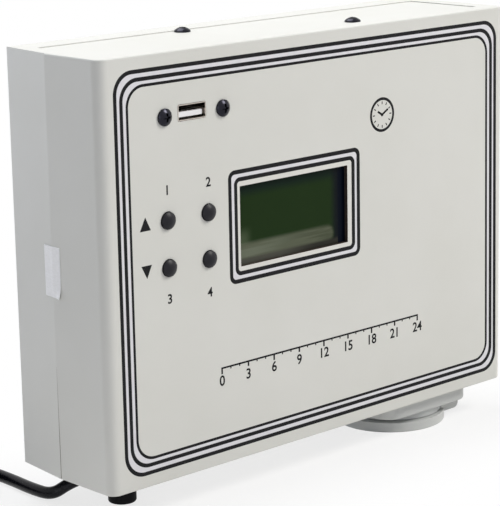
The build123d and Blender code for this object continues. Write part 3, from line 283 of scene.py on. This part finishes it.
def solder_mask():
    """Green lacquer over glass cloth: the cloth's weave shows as a faint check, with lighter tracks."""
    material, tree, shader, place = start("solder_mask_green", "#14572C", 0.3, IOR=1.5)
    # A wave node repeats every 2 pi / 20 of its scale, which makes the threads 1.2 mm apart
    threads = {"Vector": place, "Scale": 1000 / 3.8, "Distortion": 0.4}
    cloth = add(tree, "TexWave", threads, bands_direction="X")
    cross = add(tree, "TexWave", threads, bands_direction="Z")
    weave = add(tree, "Math", {0: cloth.outputs["Fac"], 1: cross.outputs["Fac"]}, operation="MULTIPLY")
    track_grid = 0.012
    tracks = add(tree, "TexBrick", {"Vector": place, "Scale": 1 / track_grid, "Mortar Size": 0.06})
    relief = {"Height": weave.outputs[0], "Distance": 0.01 * MM}
    coat(tree, shader, blend(tree, tracks.outputs["Fac"], linear("#14572C"), linear("#1D6E39")), relief)
    return material


def tape_wrap():
    """Yellow polyester tape in turns 6 mm wide: each overlap is a little darker and stands up."""
    material, tree, shader, place = start("polyester_tape_yellow", "#D9B63A", 0.22, IOR=1.55)
    wound = {"Vector": place, "Scale": 1000 / 19, "Distortion": 0.3}
    turns = add(tree, "TexWave", wound, bands_direction="Z")
    edge = add(tree, "MapRange", {"Value": turns.outputs["Fac"], "From Min": 0.7, "From Max": 0.95})
    relief = {"Height": turns.outputs["Fac"], "Distance": 0.05 * MM}
    coat(tree, shader, blend(tree, edge.outputs[0], linear("#DDBB40"), linear("#C39A28")), relief)
    return material


def liquid_crystal():
    """Unlit liquid crystal cell under its polariser: dark green, a bluer, darker strip along the top that
    is painted shade of the window's upper wall, and rows of clear dots 0.5 mm apart that only just show."""
    material, tree, shader, place = start("polarised_display_glass", "#22341D", 0.12, **display_gloss)
    cloud_size = 0.018
    dot_pitch = 0.0005
    apart = add(tree, "SeparateXYZ", {"Vector": place})
    # Painted shade: the top strip darkens to a bluer green, for the shade of the window's upper wall
    strip = {"Value": apart.outputs["Z"], "From Min": 0.1125, "From Max": 0.1142}
    top = add(tree, "MapRange", strip, interpolation_type="SMOOTHSTEP")
    clouds = add(tree, "TexNoise", {"Vector": place, "Scale": 1 / cloud_size, "Detail": 2.0})
    green = blend(tree, clouds.outputs["Fac"], linear("#22351C"), linear("#283A21"))
    body = blend(tree, top.outputs[0], green, linear("#1B2B26"))
    grid = {"Vector": place, "Scale": 1 / dot_pitch, "Mortar Size": 0.05}
    dots = add(tree, "TexBrick", grid, offset=0.0)
    shown = blend(tree, dots.outputs["Fac"], body, linear("#1E2D1A"))
    tree.links.new(shown, shader.inputs["Base Color"])
    return material


def display_film():
    """Clear film laid over the display: dark green where it lies close on the cell. Along the bottom runs
    a
    painted reflection: a pale streaked strip with a round end at the right, that also runs up the left
    edge a little. Under it the film is grey, also painted reflection, at the right it darkens, and the top
    is a little bluer and darker, which is painted shade."""
    material, tree, shader, place = start("film_with_painted_reflection", "#22341D", 0.12, **display_gloss)
    # Places in metres: a pair is where a change begins and where it is complete
    painted_shade_top = (0.1105, 0.1145)
    darker_right = (0.0055, 0.0098)
    reflection_end = 0.0045
    reflection_height = 0.0910
    reflection_edge = (0.0043, 0.0021)
    reflection_dims = (-0.036, 0.002)
    left_across = (-0.0335, -0.0388)
    left_up = (0.1015, 0.0962)
    left_reflection_share = 0.85
    lower_reflection_up = (0.0896, 0.0880)
    lower_reflection_dims = (-0.022, 0.0)
    cloud_size = 0.018
    streak_size = 0.0016

    def math_of(operation, first, second):
        return add(tree, "Math", {0: first, 1: second}, operation=operation).outputs[0]

    def soft(value, span):
        reach = {"Value": value, "From Min": span[0], "From Max": span[1]}
        return add(tree, "MapRange", reach, interpolation_type="SMOOTHSTEP").outputs[0]

    apart = add(tree, "SeparateXYZ", {"Vector": place})
    across, up = apart.outputs["X"], apart.outputs["Z"]
    clouds = add(tree, "TexNoise", {"Vector": place, "Scale": 1 / cloud_size, "Detail": 2.0})
    close = blend(tree, clouds.outputs["Fac"], linear("#1C2F14"), linear("#213318"))
    # Painted shade: the top turns darker and bluer, for the shade of the window's upper wall
    close = blend(tree, soft(up, painted_shade_top), close, linear("#15241C"))
    close = blend(tree, soft(across, darker_right), close, linear("#12171B"))
    # The left end of the painted reflection, which runs up the edge
    left_reflection = math_of("MULTIPLY", soft(across, left_across), soft(up, left_up))
    shown = blend(tree, math_of("MULTIPLY", left_reflection, left_reflection_share), close, linear("#49553F"))
    # The painted reflection lies along a level line that ends at the right, and is streaked along its
    # length
    long_streaks = add(tree, "Mapping", {"Vector": place, "Scale": (0.06, 1.0, 1.0)})
    streaks = {"Vector": long_streaks.outputs[0], "Scale": 1 / streak_size, "Detail": 3.0}
    streak = add(tree, "TexNoise", streaks).outputs["Fac"]
    reflection_tone = blend(tree, soft(across, reflection_dims), linear("#696F5F"), linear("#4B5140"))
    reflection_tone = blend(tree, soft(streak, (0.42, 0.66)), reflection_tone, linear("#5C6150"))
    past = math_of("MAXIMUM", math_of("SUBTRACT", across, reflection_end), 0.0)
    over = math_of("SUBTRACT", up, reflection_height)
    reach = add(tree, "CombineXYZ", {"X": past, "Y": over})
    away = add(tree, "VectorMath", {0: reach.outputs[0]}, operation="LENGTH").outputs["Value"]
    shown = blend(tree, soft(away, reflection_edge), shown, reflection_tone)
    # Painted reflection: below the strip the film is grey, darker towards the right
    lower_reflection = blend(tree, soft(across, lower_reflection_dims), linear("#515149"), linear("#33322D"))
    shown = blend(tree, soft(up, lower_reflection_up), shown, lower_reflection)
    tree.links.new(shown, shader.inputs["Base Color"])
    return material


def lacquered_steel():
    """Stamped steel bezel under blue-black lacquer: smooth, with the orange-peel of a dipped coat."""
    gloss = {"IOR": 1.5, "Specular_IOR_Level": 0.03}
    material, tree, shader, place = start("lacquered_steel_blue_black", "#080D18", 0.3, **gloss)
    peel_size = 0.9
    peel = add(tree, "TexNoise", {"Vector": place, "Scale": 1000 / peel_size, "Detail": 2.0})
    relief = {"Height": peel.outputs["Fac"], "Distance": 0.01 * MM}
    coat(tree, shader, blend(tree, peel.outputs["Fac"], linear("#080D18"), linear("#0B111D")), relief)
    return material


seal_paper = label_paper()
board_lacquer = solder_mask()
coil_tape = tape_wrap()
display_cell = liquid_crystal()
film_painted_reflection = display_film()
bezel_steel = lacquered_steel()
finishes = {
    "case_plastic": case_abs,
    "outlet_plastic": outlet_polyamide,
    "paper": seal_paper,
    "button_plastic": key_abs,
    "black_screw": black_screw,
    "zinc_steel": zinc_steel,
    "nickel_steel": nickel_steel,
    "white_plastic": white_polyester,
    "black_plastic": black_polyester,
    "brass_contact": brass_sheet,
    "display_glass": display_cell,
    "diffuser": diffuser_acrylic,
    "black_steel": bezel_steel,
    "circuit_board": board_lacquer,
    "relay_blue": relay_case,
    "terminal_green": terminal_case,
    "spacer_nylon": spacer_nylon,
    "transformer_wrap": coil_tape,
    "cord_pvc": cord_pvc,
    "wire_brown": wire_pvc,
    "ribbon_grey": ribbon_pvc,
    "foot_rubber": foot_rubber,
}
for subpart in frame["record"]["subparts"]:
    solid = nodes[subpart["node"]]
    solid.data.materials.clear()
    solid.data.materials.append(finishes[subpart["material_slot"]])
# The port's contacts share a slot with bright brass, and get a darker colour instead: painted shade
nodes["usb_contacts"].data.materials[0] = contacts_painted_shade


# ---------------------------------------------------------------- printing on the face
# Height of the ink over the face, in mm, for lines and figures and for the ground under them
line_film = 0.035
ground_film = 0.02
# Share of the way across a printed strip, and of the film's height there
film_share = np.array([0.0, 0.03, 0.1, 0.9, 0.97, 1.0])
film_height = np.array([0.0, 0.7, 1.0, 1.0, 0.7, 0.0])
# The same from the edge of a filled mark to its middle, and down again to the face
mark_share = np.array([1.0, 0.97, 0.9, 0.0, 0.0])
mark_height = np.array([0.0, 0.7, 1.0, 1.0, 0.0])


def outline(left, right, low, high, radius, steps=20):
    """A rectangle with round corners: each corner is a quarter circle about its own centre, and straight
    sides join them. The radius is one for all, or four from the upper right corner on to the left."""
    angle = (np.arange(4)[:, None] * math.pi / 2 + np.linspace(0, math.pi / 2, steps)).ravel()
    turned = np.repeat(np.broadcast_to(radius, 4), steps)
    middle_x = np.repeat([right, left, left, right], steps) + turned * np.repeat([-1, 1, 1, -1], steps)
    middle_z = np.repeat([high, high, low, low], steps) + turned * np.repeat([-1, -1, 1, 1], steps)
    return np.stack([middle_x + turned * np.cos(angle), middle_z + turned * np.sin(angle)], axis=-1)


def at_depth(flat, depth):
    """Points of the face, across and up, moved to their depths: it makes places in space of them."""
    return np.stack([flat[..., 0], np.broadcast_to(depth, flat.shape[:-1]), flat[..., 1]], axis=-1)


def printed_ring(name, outer, inner, film, ink):
    """Ink between two outlines: the film climbs from the outer one to its full height within a tenth of
    the width, runs level, and falls to the inner one the same way."""
    share = film_share[None, :, None]
    flat = outer[:, None, :] * (1 - share) + inner[:, None, :] * share
    points = at_depth(flat, face_y - film_height * film)
    dress(skin(name, points[None], around=True, across=True, smooth=False), ink, "case")


def printed_patches(name, outlines, film, ink):
    """Ink over filled shapes: each outline climbs to the film's height and shrinks to its middle."""
    middle = outlines.mean(axis=1, keepdims=True)
    flat = middle[:, :, None, :] + (outlines - middle)[:, :, None, :] * mark_share[None, None, :, None]
    points = at_depth(flat, face_y - mark_height * film)
    dress(skin(name, points, around=True, across=True, smooth=False), ink, "case")


def printed_number(name, words, size, x, z):
    """Numerals as a film of ink, centred on a place of the face and a little bolder than the font."""
    letters = bpy.data.curves.new(name, "FONT")
    letters.body = words
    letters.size = size * MM
    letters.align_x = "CENTER"
    letters.align_y = "CENTER"
    letters.offset = number_weight * MM
    letters.extrude = line_film * MM / 2
    written = bpy.data.objects.new(name + "_letters", letters)
    scene.collection.objects.link(written)
    bpy.context.view_layer.update()
    mesh = bpy.data.meshes.new_from_object(written.evaluated_get(bpy.context.evaluated_depsgraph_get()))
    bpy.data.objects.remove(written)
    upright = Matrix.Rotation(math.pi / 2, 4, "X")
    mesh.transform(Matrix.Translation(Vector((x, face_y - line_film / 2, z)) * MM) @ upright)
    mesh.name = name
    dress(settle(name, mesh, False), line_ink, "case")


def printed_edge(line, reach):
    """An outline beside the middle of a printed line: reach 1 gives its outer edge, and -1 its inner one.
    The right side can lean in, as the print does."""
    (left, right, low, high), (half_left, half_right, half_up), radius, lean = line
    edge = outline(
        left - half_left * reach,
        right + half_right * reach,
        low - half_up * reach,
        high + half_up * reach,
        np.array(radius) + half_up * reach,
    )
    edge[:, 0] -= lean * (edge[:, 0] - left) / (right - left) * (edge[:, 1] - level_z)
    return edge


def inset(box, reach):
    """A rectangle (left, right, low, high) drawn in by the same reach on all sides."""
    left, right, low, high = box
    return left + reach, right - reach, low + reach, high - reach


# Middle of each line (left, right, low, high), half its width at the left, the right and above or below,
# the radius of its corners and the lean of its right side
face_lines = (
    ((-98.13, 99.56, 19.01, 163.10), (0.77, 0.87, 0.74), (7.1, 7.6, 8.4, 7.2), 0.0079),
    ((-95.51, 97.00, 21.86, 160.29), (0.77, 0.88, 0.74), (7.0, 7.3, 8.1, 7.0), 0.0079),
    ((-92.96, 94.36, 24.18, 158.01), (0.55, 0.60, 0.53), (7.0, 7.3, 7.9, 7.0), 0.0079),
)
display_lines = (
    ((-46.29, 19.88, 81.27, 121.70), (0.81, 0.90, 0.81), 2.3, 0.0),
    ((-43.49, 17.08, 84.07, 118.88), (0.81, 0.90, 0.80), 2.0, 0.0),
)
# A ground reaches a little under its lines: to nine tenths of their half width, from their middles
under_line = 0.9
# Height at which a leaning side stands at the place that its line gives
level_z = 90.0
# Sizes of the figures at the buttons and under the scale, and how far their edges move outwards, in mm
button_figure = 4.8
hour_figure = 5.4
number_weight = 0.1

# Three lines round the face, the inner one thinner, on a lilac-white ground
for name, line in zip(("frame_line_outer", "frame_line_middle", "frame_line_inner"), face_lines):
    printed_ring(name, printed_edge(line, 1), printed_edge(line, -1), line_film, line_ink)
for name, outer, inner in zip(("frame_ground_outer", "frame_ground_inner"), face_lines, face_lines[1:]):
    edges = (printed_edge(outer, -under_line), printed_edge(inner, under_line))
    printed_ring(name, *edges, ground_film, lilac_ink)

# Two lines round the display window, lilac-white between them and warm white inside
window = (-41.5, 14.0, 86.5, 116.3)
window_radius = 0.3
for name, line in zip(("display_line_outer", "display_line_inner"), display_lines):
    printed_ring(name, printed_edge(line, 1), printed_edge(line, -1), line_film, line_ink)
lilac_edges = (printed_edge(display_lines[0], -under_line), printed_edge(display_lines[1], under_line))
printed_ring("display_ground_lilac", *lilac_edges, ground_film, lilac_ink)
warm_edges = (printed_edge(display_lines[1], -under_line), outline(*window, window_radius))
printed_ring("display_ground_warm", *warm_edges, ground_film, warm_ink)

# Painted shade on the cut edge of the window: a thin dark sleeve from the face to the back of the wall
shade_reach = (0.01, 0.05, 0.05, 0.01)
shade_depth = np.array([-26.99, -26.99, -25.42, -25.42])
shade_rings = np.stack([outline(*inset(window, reach), window_radius) for reach in shade_reach], axis=1)
shade_points = at_depth(shade_rings, shade_depth)[None]
shade_sleeve = skin("window_edge_painted_shade", shade_points, around=True, across=True, smooth=False)
dress(shade_sleeve, edge_shade_ink, "case")

# Clear film over the display and its bezel, in the narrow gap behind the window's wall
film_box = (-42.2, 10.25, 85.9, 116.9)
film_side = outline(*film_box, 0.5, 6)
film_middle = np.broadcast_to(film_side.mean(axis=0), film_side.shape)
film_rings = np.stack([film_middle, film_side, film_side, film_middle], axis=1)
film_depth = np.array([-25.37, -25.37, -25.34, -25.34])
# The film's colour holds a painted reflection along the bottom and painted shade along the top
film = skin("display_film", at_depth(film_rings, film_depth)[None], around=True, smooth=False)
dress(film, film_painted_reflection, "case")

# Arrow marks left of the upper and lower buttons
arrow_up = np.array([[-88.9, 106.95], [-83.85, 106.95], [-86.3, 111.9]])
arrow_down = np.array([[-88.7, 94.6], [-86.15, 89.8], [-83.85, 94.6]])
printed_patches("arrow_mark_up", arrow_up[None], line_film, line_ink)
printed_patches("arrow_mark_down", arrow_down[None], line_film, line_ink)

# Plain numbers at the four buttons
button_places = ((-75.95, 119.8), (-56.6, 120.0), (-75.95, 80.6), (-56.88, 79.6))
for number, (x, z) in enumerate(button_places, 1):
    printed_number(f"button_number_{number}", str(number), button_figure, x, z)

# Plain scale of the day's 24 hours below the display, and a plain dial above at the right
hours = np.arange(25)
scale_left, scale_right, scale_z = -52.0, 53.0, 50.2
scale_half = 0.35
hour_z = 45.3
tick_x = scale_left + (scale_right - scale_left) * hours / 24
tick_reach = np.where(hours % 6 == 0, 2.6, np.where(hours % 3 == 0, 2.2, 1.3))
tick_half = np.where(hours % 3 == 0, 0.4, 0.27)
corner_x = np.array([-1.0, -1.0, 1.0, 1.0])
corner_z = np.array([0.0, -1.0, -1.0, 0.0])
ticks = np.stack([
    tick_x[:, None] + tick_half[:, None] * corner_x,
    scale_z + scale_half + tick_reach[:, None] * corner_z,
], axis=-1)
printed_patches("hour_scale_ticks", ticks, line_film, line_ink)
line_sides = (scale_left - tick_half[0], scale_right + tick_half[0])
base = outline(*line_sides, scale_z - scale_half, scale_z + scale_half, 0.1, 3)
# The line is printed a little thicker than its ticks, so that the two don't share a surface
printed_patches("hour_scale_line", base[None], line_film * 1.1, line_ink)
for hour in range(0, 25, 3):
    printed_number(f"hour_number_{hour}", str(hour), hour_figure, tick_x[hour], hour_z)

# The dial: its middle, the radius and the width of its rim
dial_middle = np.array([33.3, 133.3])
dial_radius = 6.7
dial_line = 1.1
turn = np.linspace(0, 2 * math.pi, 64, endpoint=False)
rim = np.stack([np.cos(turn), np.sin(turn)], axis=-1)
rim_edges = [dial_middle + rim * radius for radius in (dial_radius, dial_radius - dial_line)]
printed_ring("dial_mark_rim", *rim_edges, line_film, line_ink)


def dial_marks(name, clockwise, reach, half):
    """Strokes that point outwards from the dial's middle, each turned clockwise from the top. Reach and
    half are the places of their four corners, outwards and aside."""
    outward = np.stack([np.sin(clockwise), np.cos(clockwise)], axis=-1)[:, None, :]
    aside = np.stack([np.cos(clockwise), -np.sin(clockwise)], axis=-1)[:, None, :]
    corners = dial_middle + outward * reach[:, :, None] + aside * half[None, :, None]
    printed_patches(name, corners, line_film, line_ink)


stroke_sides = np.array([-1.0, -1.0, 1.0, 1.0])
# A short mark for each hour
hour_turns = np.arange(12) * math.pi / 6
hour_reach = np.array([[5.1, 4.0, 4.0, 5.1]])
dial_marks("dial_mark_hours", hour_turns, hour_reach, 0.22 * stroke_sides)
# The hour hand at ten, and the longer minute hand at ten past
hand_turns = np.array([-60.0, 60.0]) * math.pi / 180
hand_reach = np.array([[2.8, -0.7, -0.7, 2.8], [3.7, -0.7, -0.7, 3.7]])
dial_marks("dial_mark_hands", hand_turns, hand_reach, 0.42 * stroke_sides)


# ---------------------------------------------------------------- paper seal
def wall_line(depth):
    """The left wall seen from above, from the face back: upright, one small step in at the joint of the
    shells, then leaning in."""
    step = np.clip((depth - joint_depth) / joint_step, 0, 1)
    return wall_x + joint_step * step + np.clip(depth - joint_depth - joint_step, 0, None) * rear_lean


seal_front, seal_back = 25.0, 34.7
seal_low, seal_high = 81.6, 100.2
seal_gap = 0.06
paper_thickness = 0.1
across_seal = np.linspace(seal_front, seal_back, 34)
up_seal = np.linspace(seal_low, seal_high, 64)
depth_grid, height_grid = np.meshgrid(across_seal, up_seal, indexing="ij")
# The paper bridges the step in a soft curve, and then leans in with the rear wall
bridge_start, bridge_run = 29.4, 1.6
rise = np.clip((depth_grid - bridge_start) / bridge_run, 0, 1)
bridge = joint_step * rise ** 2 * (3 - 2 * rise)
lean = np.clip(depth_grid - bridge_start - bridge_run, 0, None) * rear_lean
# Its lower front corner has come loose and curls up, a little further upwards than backwards
curl_height, curl_reach, curl_slant = 1.1, 4.2, 0.8
from_corner = np.hypot(depth_grid - seal_front, (height_grid - seal_low) * curl_slant)
curl = curl_height * np.clip(1 - from_corner / curl_reach, 0, 1) ** 2
seal_x = np.minimum(wall_x + bridge + lean, wall_line(depth_grid)) - seal_gap - curl
seal_points = np.stack([seal_x, face_y + depth_grid, height_grid], axis=-1)
seal = dress(skin("seal_paper", seal_points[None]), seal_paper, "case")
sheet_depth = seal.modifiers.new("thickness", "SOLIDIFY")
sheet_depth.thickness = paper_thickness * MM
sheet_depth.offset = 0.0
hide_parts("warranty_seal")


# ---------------------------------------------------------------- joint of the shells
# A thin dark grey-brown line along the joint of the shells, widest at the bottom and tapering upwards
joint_low, joint_high = 14.2, 56.0
joint_line_height = 0.012
thin_line, more_line, taper_run = 0.05, 0.27, 30.0
# The first and the last row lie on the ends, and shrink to a point that closes them
joint_up = np.concatenate([[joint_low], np.linspace(joint_low, joint_high, 60), [joint_high]])[:, None]
joint_full = np.ones_like(joint_up)
joint_full[[0, -1]] = 0
joint_width = thin_line + more_line * np.clip((joint_high - joint_up) / taper_run, 0, 1) ** 1.3
joint_across = 0.5 + np.array([-0.5, -0.5, 0.5, 0.5]) * joint_full
joint_y = face_y + joint_depth - joint_width * joint_across
joint_x = wall_x - np.array([0.0, joint_line_height, joint_line_height, 0.0]) * joint_full
joint_points = np.stack([joint_x, joint_y, np.broadcast_to(joint_up, joint_y.shape)], axis=-1)
dress(skin("case_joint_dark_line", joint_points[None], across=True, smooth=False), joint_line_ink, "case")


# ---------------------------------------------------------------- mains cord
cord_diameter = 0.0046
# Middle of the cord where it lies on the ground, and where it lies on another turn of it
on_ground = 0.0023
on_turn = 0.0069
coil_start = (-0.0990, 0.0660)
# The first point lies inside the bushing that grips the lead, and the last one is where the coil begins
route = [
    (-0.0860, 0.0113, 0.0147),
    (-0.0860, 0.0113, 0.0082),
    (-0.0920, 0.0152, 0.0058),
    (-0.0980, 0.0176, on_ground),
    (-0.0991, 0.0284, on_ground),
    (-0.0981, 0.0442, on_ground),
    (*coil_start, on_ground),
]
# Coil of seven and a half turns: four side by side from the outside in, then back out on top of them.
# Each turn is a circle, and shifts to the next one within about a sixth of a turn. The lists say at which
# turns the shifts begin and end, and how many cord widths inwards the cord then is.
coil_turns = 7.5
points_per_turn = 16
outer_turn = 0.0345
coil_x, coil_y = coil_start[0] - outer_turn, coil_start[1]
turns = np.arange(1, coil_turns * points_per_turn + 1) / points_per_turn
shift_turn = [0, 0.83, 1, 1.83, 2, 2.83, 3, 4.53, 4.7, 5.53, 5.7, 6.53, 6.7, coil_turns]
shift_ring = [0, 0, 1, 1, 2, 2, 3, 3, 2, 2, 1, 1, 0, 0]
coil_radius = outer_turn - cord_diameter * np.interp(turns, shift_turn, shift_ring)
coil_z = np.interp(turns, [0, 3.7, 3.9, coil_turns], [on_ground, on_ground, on_turn, on_turn])
coil = np.stack([
    coil_x + coil_radius * np.cos(2 * math.pi * turns),
    coil_y + coil_radius * np.sin(2 * math.pi * turns),
    coil_z,
], axis=-1)
# The far end runs straight towards the front, into the plug
tail_x = coil_x - outer_turn
tail = [(tail_x, 0.0580, 0.00688), (tail_x, 0.0500, 0.00685), (tail_x, 0.0410, 0.00685)]
cord_points = np.concatenate([np.array(route), coil, np.array(tail)])
lead = bpy.data.curves.new("mains_lead", "CURVE")
lead.dimensions = "3D"
lead.resolution_u = 8
lead.bevel_depth = cord_diameter / 2
lead.bevel_resolution = 7
lead.use_fill_caps = True
middle_line = lead.splines.new("NURBS")
middle_line.points.add(len(cord_points) - 1)
weighted = np.append(cord_points, np.ones((len(cord_points), 1)), axis=1)
middle_line.points.foreach_set("co", weighted.ravel())
middle_line.order_u = 3
middle_line.use_endpoint_u = True
cord = bpy.data.objects.new("mains_lead", lead)
scene.collection.objects.link(cord)
dress(cord, cord_pvc, "case")
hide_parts("mains_cord", "mains_cord_coil")


# ---------------------------------------------------------------- floor and light
def floor_finish():
    """White paper sweep: it keeps the shadow near the object, and further out it is plain white."""
    material, tree, shader, place = start("white_paper_sweep", "#F7F7F7", 0.9, Specular_IOR_Level=0.0)
    footprint = (0.105, 0.028, 0.0)
    shadow_reach = 0.055
    white_near = 0.75
    fibre_size = 0.0015
    fibre = add(tree, "TexNoise", {"Vector": place, "Scale": 1 / fibre_size, "Detail": 3.0})
    relief = {"Height": fibre.outputs["Fac"], "Distance": 0.02 * MM, "Strength": 0.3}
    tree.links.new(add(tree, "Bump", relief).outputs[0], shader.inputs["Normal"])
    flat = add(tree, "VectorMath", {0: place}, operation="ABSOLUTE")
    past = add(tree, "VectorMath", {0: flat.outputs[0], 1: footprint}, operation="SUBTRACT")
    outside = add(tree, "VectorMath", {0: past.outputs[0], 1: (0.0, 0.0, 0.0)}, operation="MAXIMUM")
    away = add(tree, "VectorMath", {0: outside.outputs[0]}, operation="LENGTH")
    far = {"Value": away.outputs["Value"], "From Max": shadow_reach, "To Min": white_near}
    fade = add(tree, "MapRange", far, interpolation_type="SMOOTHSTEP")
    rays, clear = seen_rays(tree)
    share = add(tree, "Math", {0: fade.outputs[0], 1: clear}, operation="MULTIPLY")
    white = add(tree, "Emission", {"Strength": 1.0})
    # The sweep throws back a little less light than it shows, and a warmer one
    thrown = blend(tree, rays.outputs["Is Diffuse Ray"], linear("#F7F7F7"), linear("#F3F1ED"))
    tree.links.new(thrown, shader.inputs["Base Color"])
    mixed = add(tree, "MixShader", {0: share.outputs[0], 1: shader.outputs[0], 2: white.outputs[0]})
    surface = next(node for node in tree.nodes if node.type == "OUTPUT_MATERIAL").inputs["Surface"]
    tree.links.new(mixed.outputs[0], surface)
    return material


floor_reach = np.array([-6000.0, 6000.0])
floor_x, floor_y = np.meshgrid(floor_reach, floor_reach, indexing="ij")
floor_grid = np.stack([floor_x, floor_y, np.zeros((2, 2))], axis=-1)
floor = skin("floor", floor_grid[None])
floor.data.materials.append(floor_finish())

# The room is plain white where it is seen, and lights the object with a quarter of that, a little cool
sky = bpy.data.worlds.new("studio")
scene.world = sky
sky.use_nodes = True
sky_tree = sky.node_tree
sky_tree.nodes.clear()
room_light = 0.25
clear = seen_rays(sky_tree)[1]
level = add(sky_tree, "MapRange", {"Value": clear, "To Min": room_light, "To Max": 1.0})
tint = blend(sky_tree, clear, linear("#ECF2FF"), linear("#FFFFFF"))
air = add(sky_tree, "Background", {"Color": tint, "Strength": level.outputs[0]})
add(sky_tree, "OutputWorld", {"Surface": air.outputs[0]})


def softbox(name, place, target, width, height, power, colour, spread=180):
    """A rectangular soft light that faces a point: sizes in metres, power in watts, and the angle of its
    beam in degrees."""
    light = bpy.data.lights.new(name, "AREA")
    light.shape = "RECTANGLE"
    light.size = width
    light.size_y = height
    light.energy = power
    light.color = linear(colour)[:3]
    light.spread = math.radians(spread)
    box = bpy.data.objects.new(name, light)
    towards = Vector(target) - Vector(place)
    box.matrix_world = Matrix.Translation(place) @ towards.to_track_quat("-Z", "Y").to_matrix().to_4x4()
    scene.collection.objects.link(box)


# The key shapes the face and throws the shadow, and the top light whitens the top. The side light is for
# the left side, the low light for the foot of that side, where the coil and the shadow keep the floor from
# lighting it, and the fill softens them all.
softbox("key_above_right", (0.75, -0.95, 1.25), (0.0, 0.0, 0.08), 0.6, 0.6, 18.3, "#FFFCF6")
softbox("top_light_left", (-0.05, 0.25, 0.75), (0.0, 0.0, 0.12), 0.45, 0.45, 3.3, "#FFFFFF")
softbox("side_light_back_left", (-0.45, 1.7, 0.12), (-0.1, 0.03, 0.06), 0.5, 0.5, 8.9, "#ECF2FF")
softbox("low_light_left", (-0.62, 0.42, 0.03), (-0.1, 0.025, 0.0), 0.1, 0.05, 0.0066, "#F4F2F0", 14)
softbox("fill_front_left", (-0.9, -0.7, 0.2), (-0.1, 0.0, 0.05), 0.6, 0.6, 1.25, "#F0F4FF")
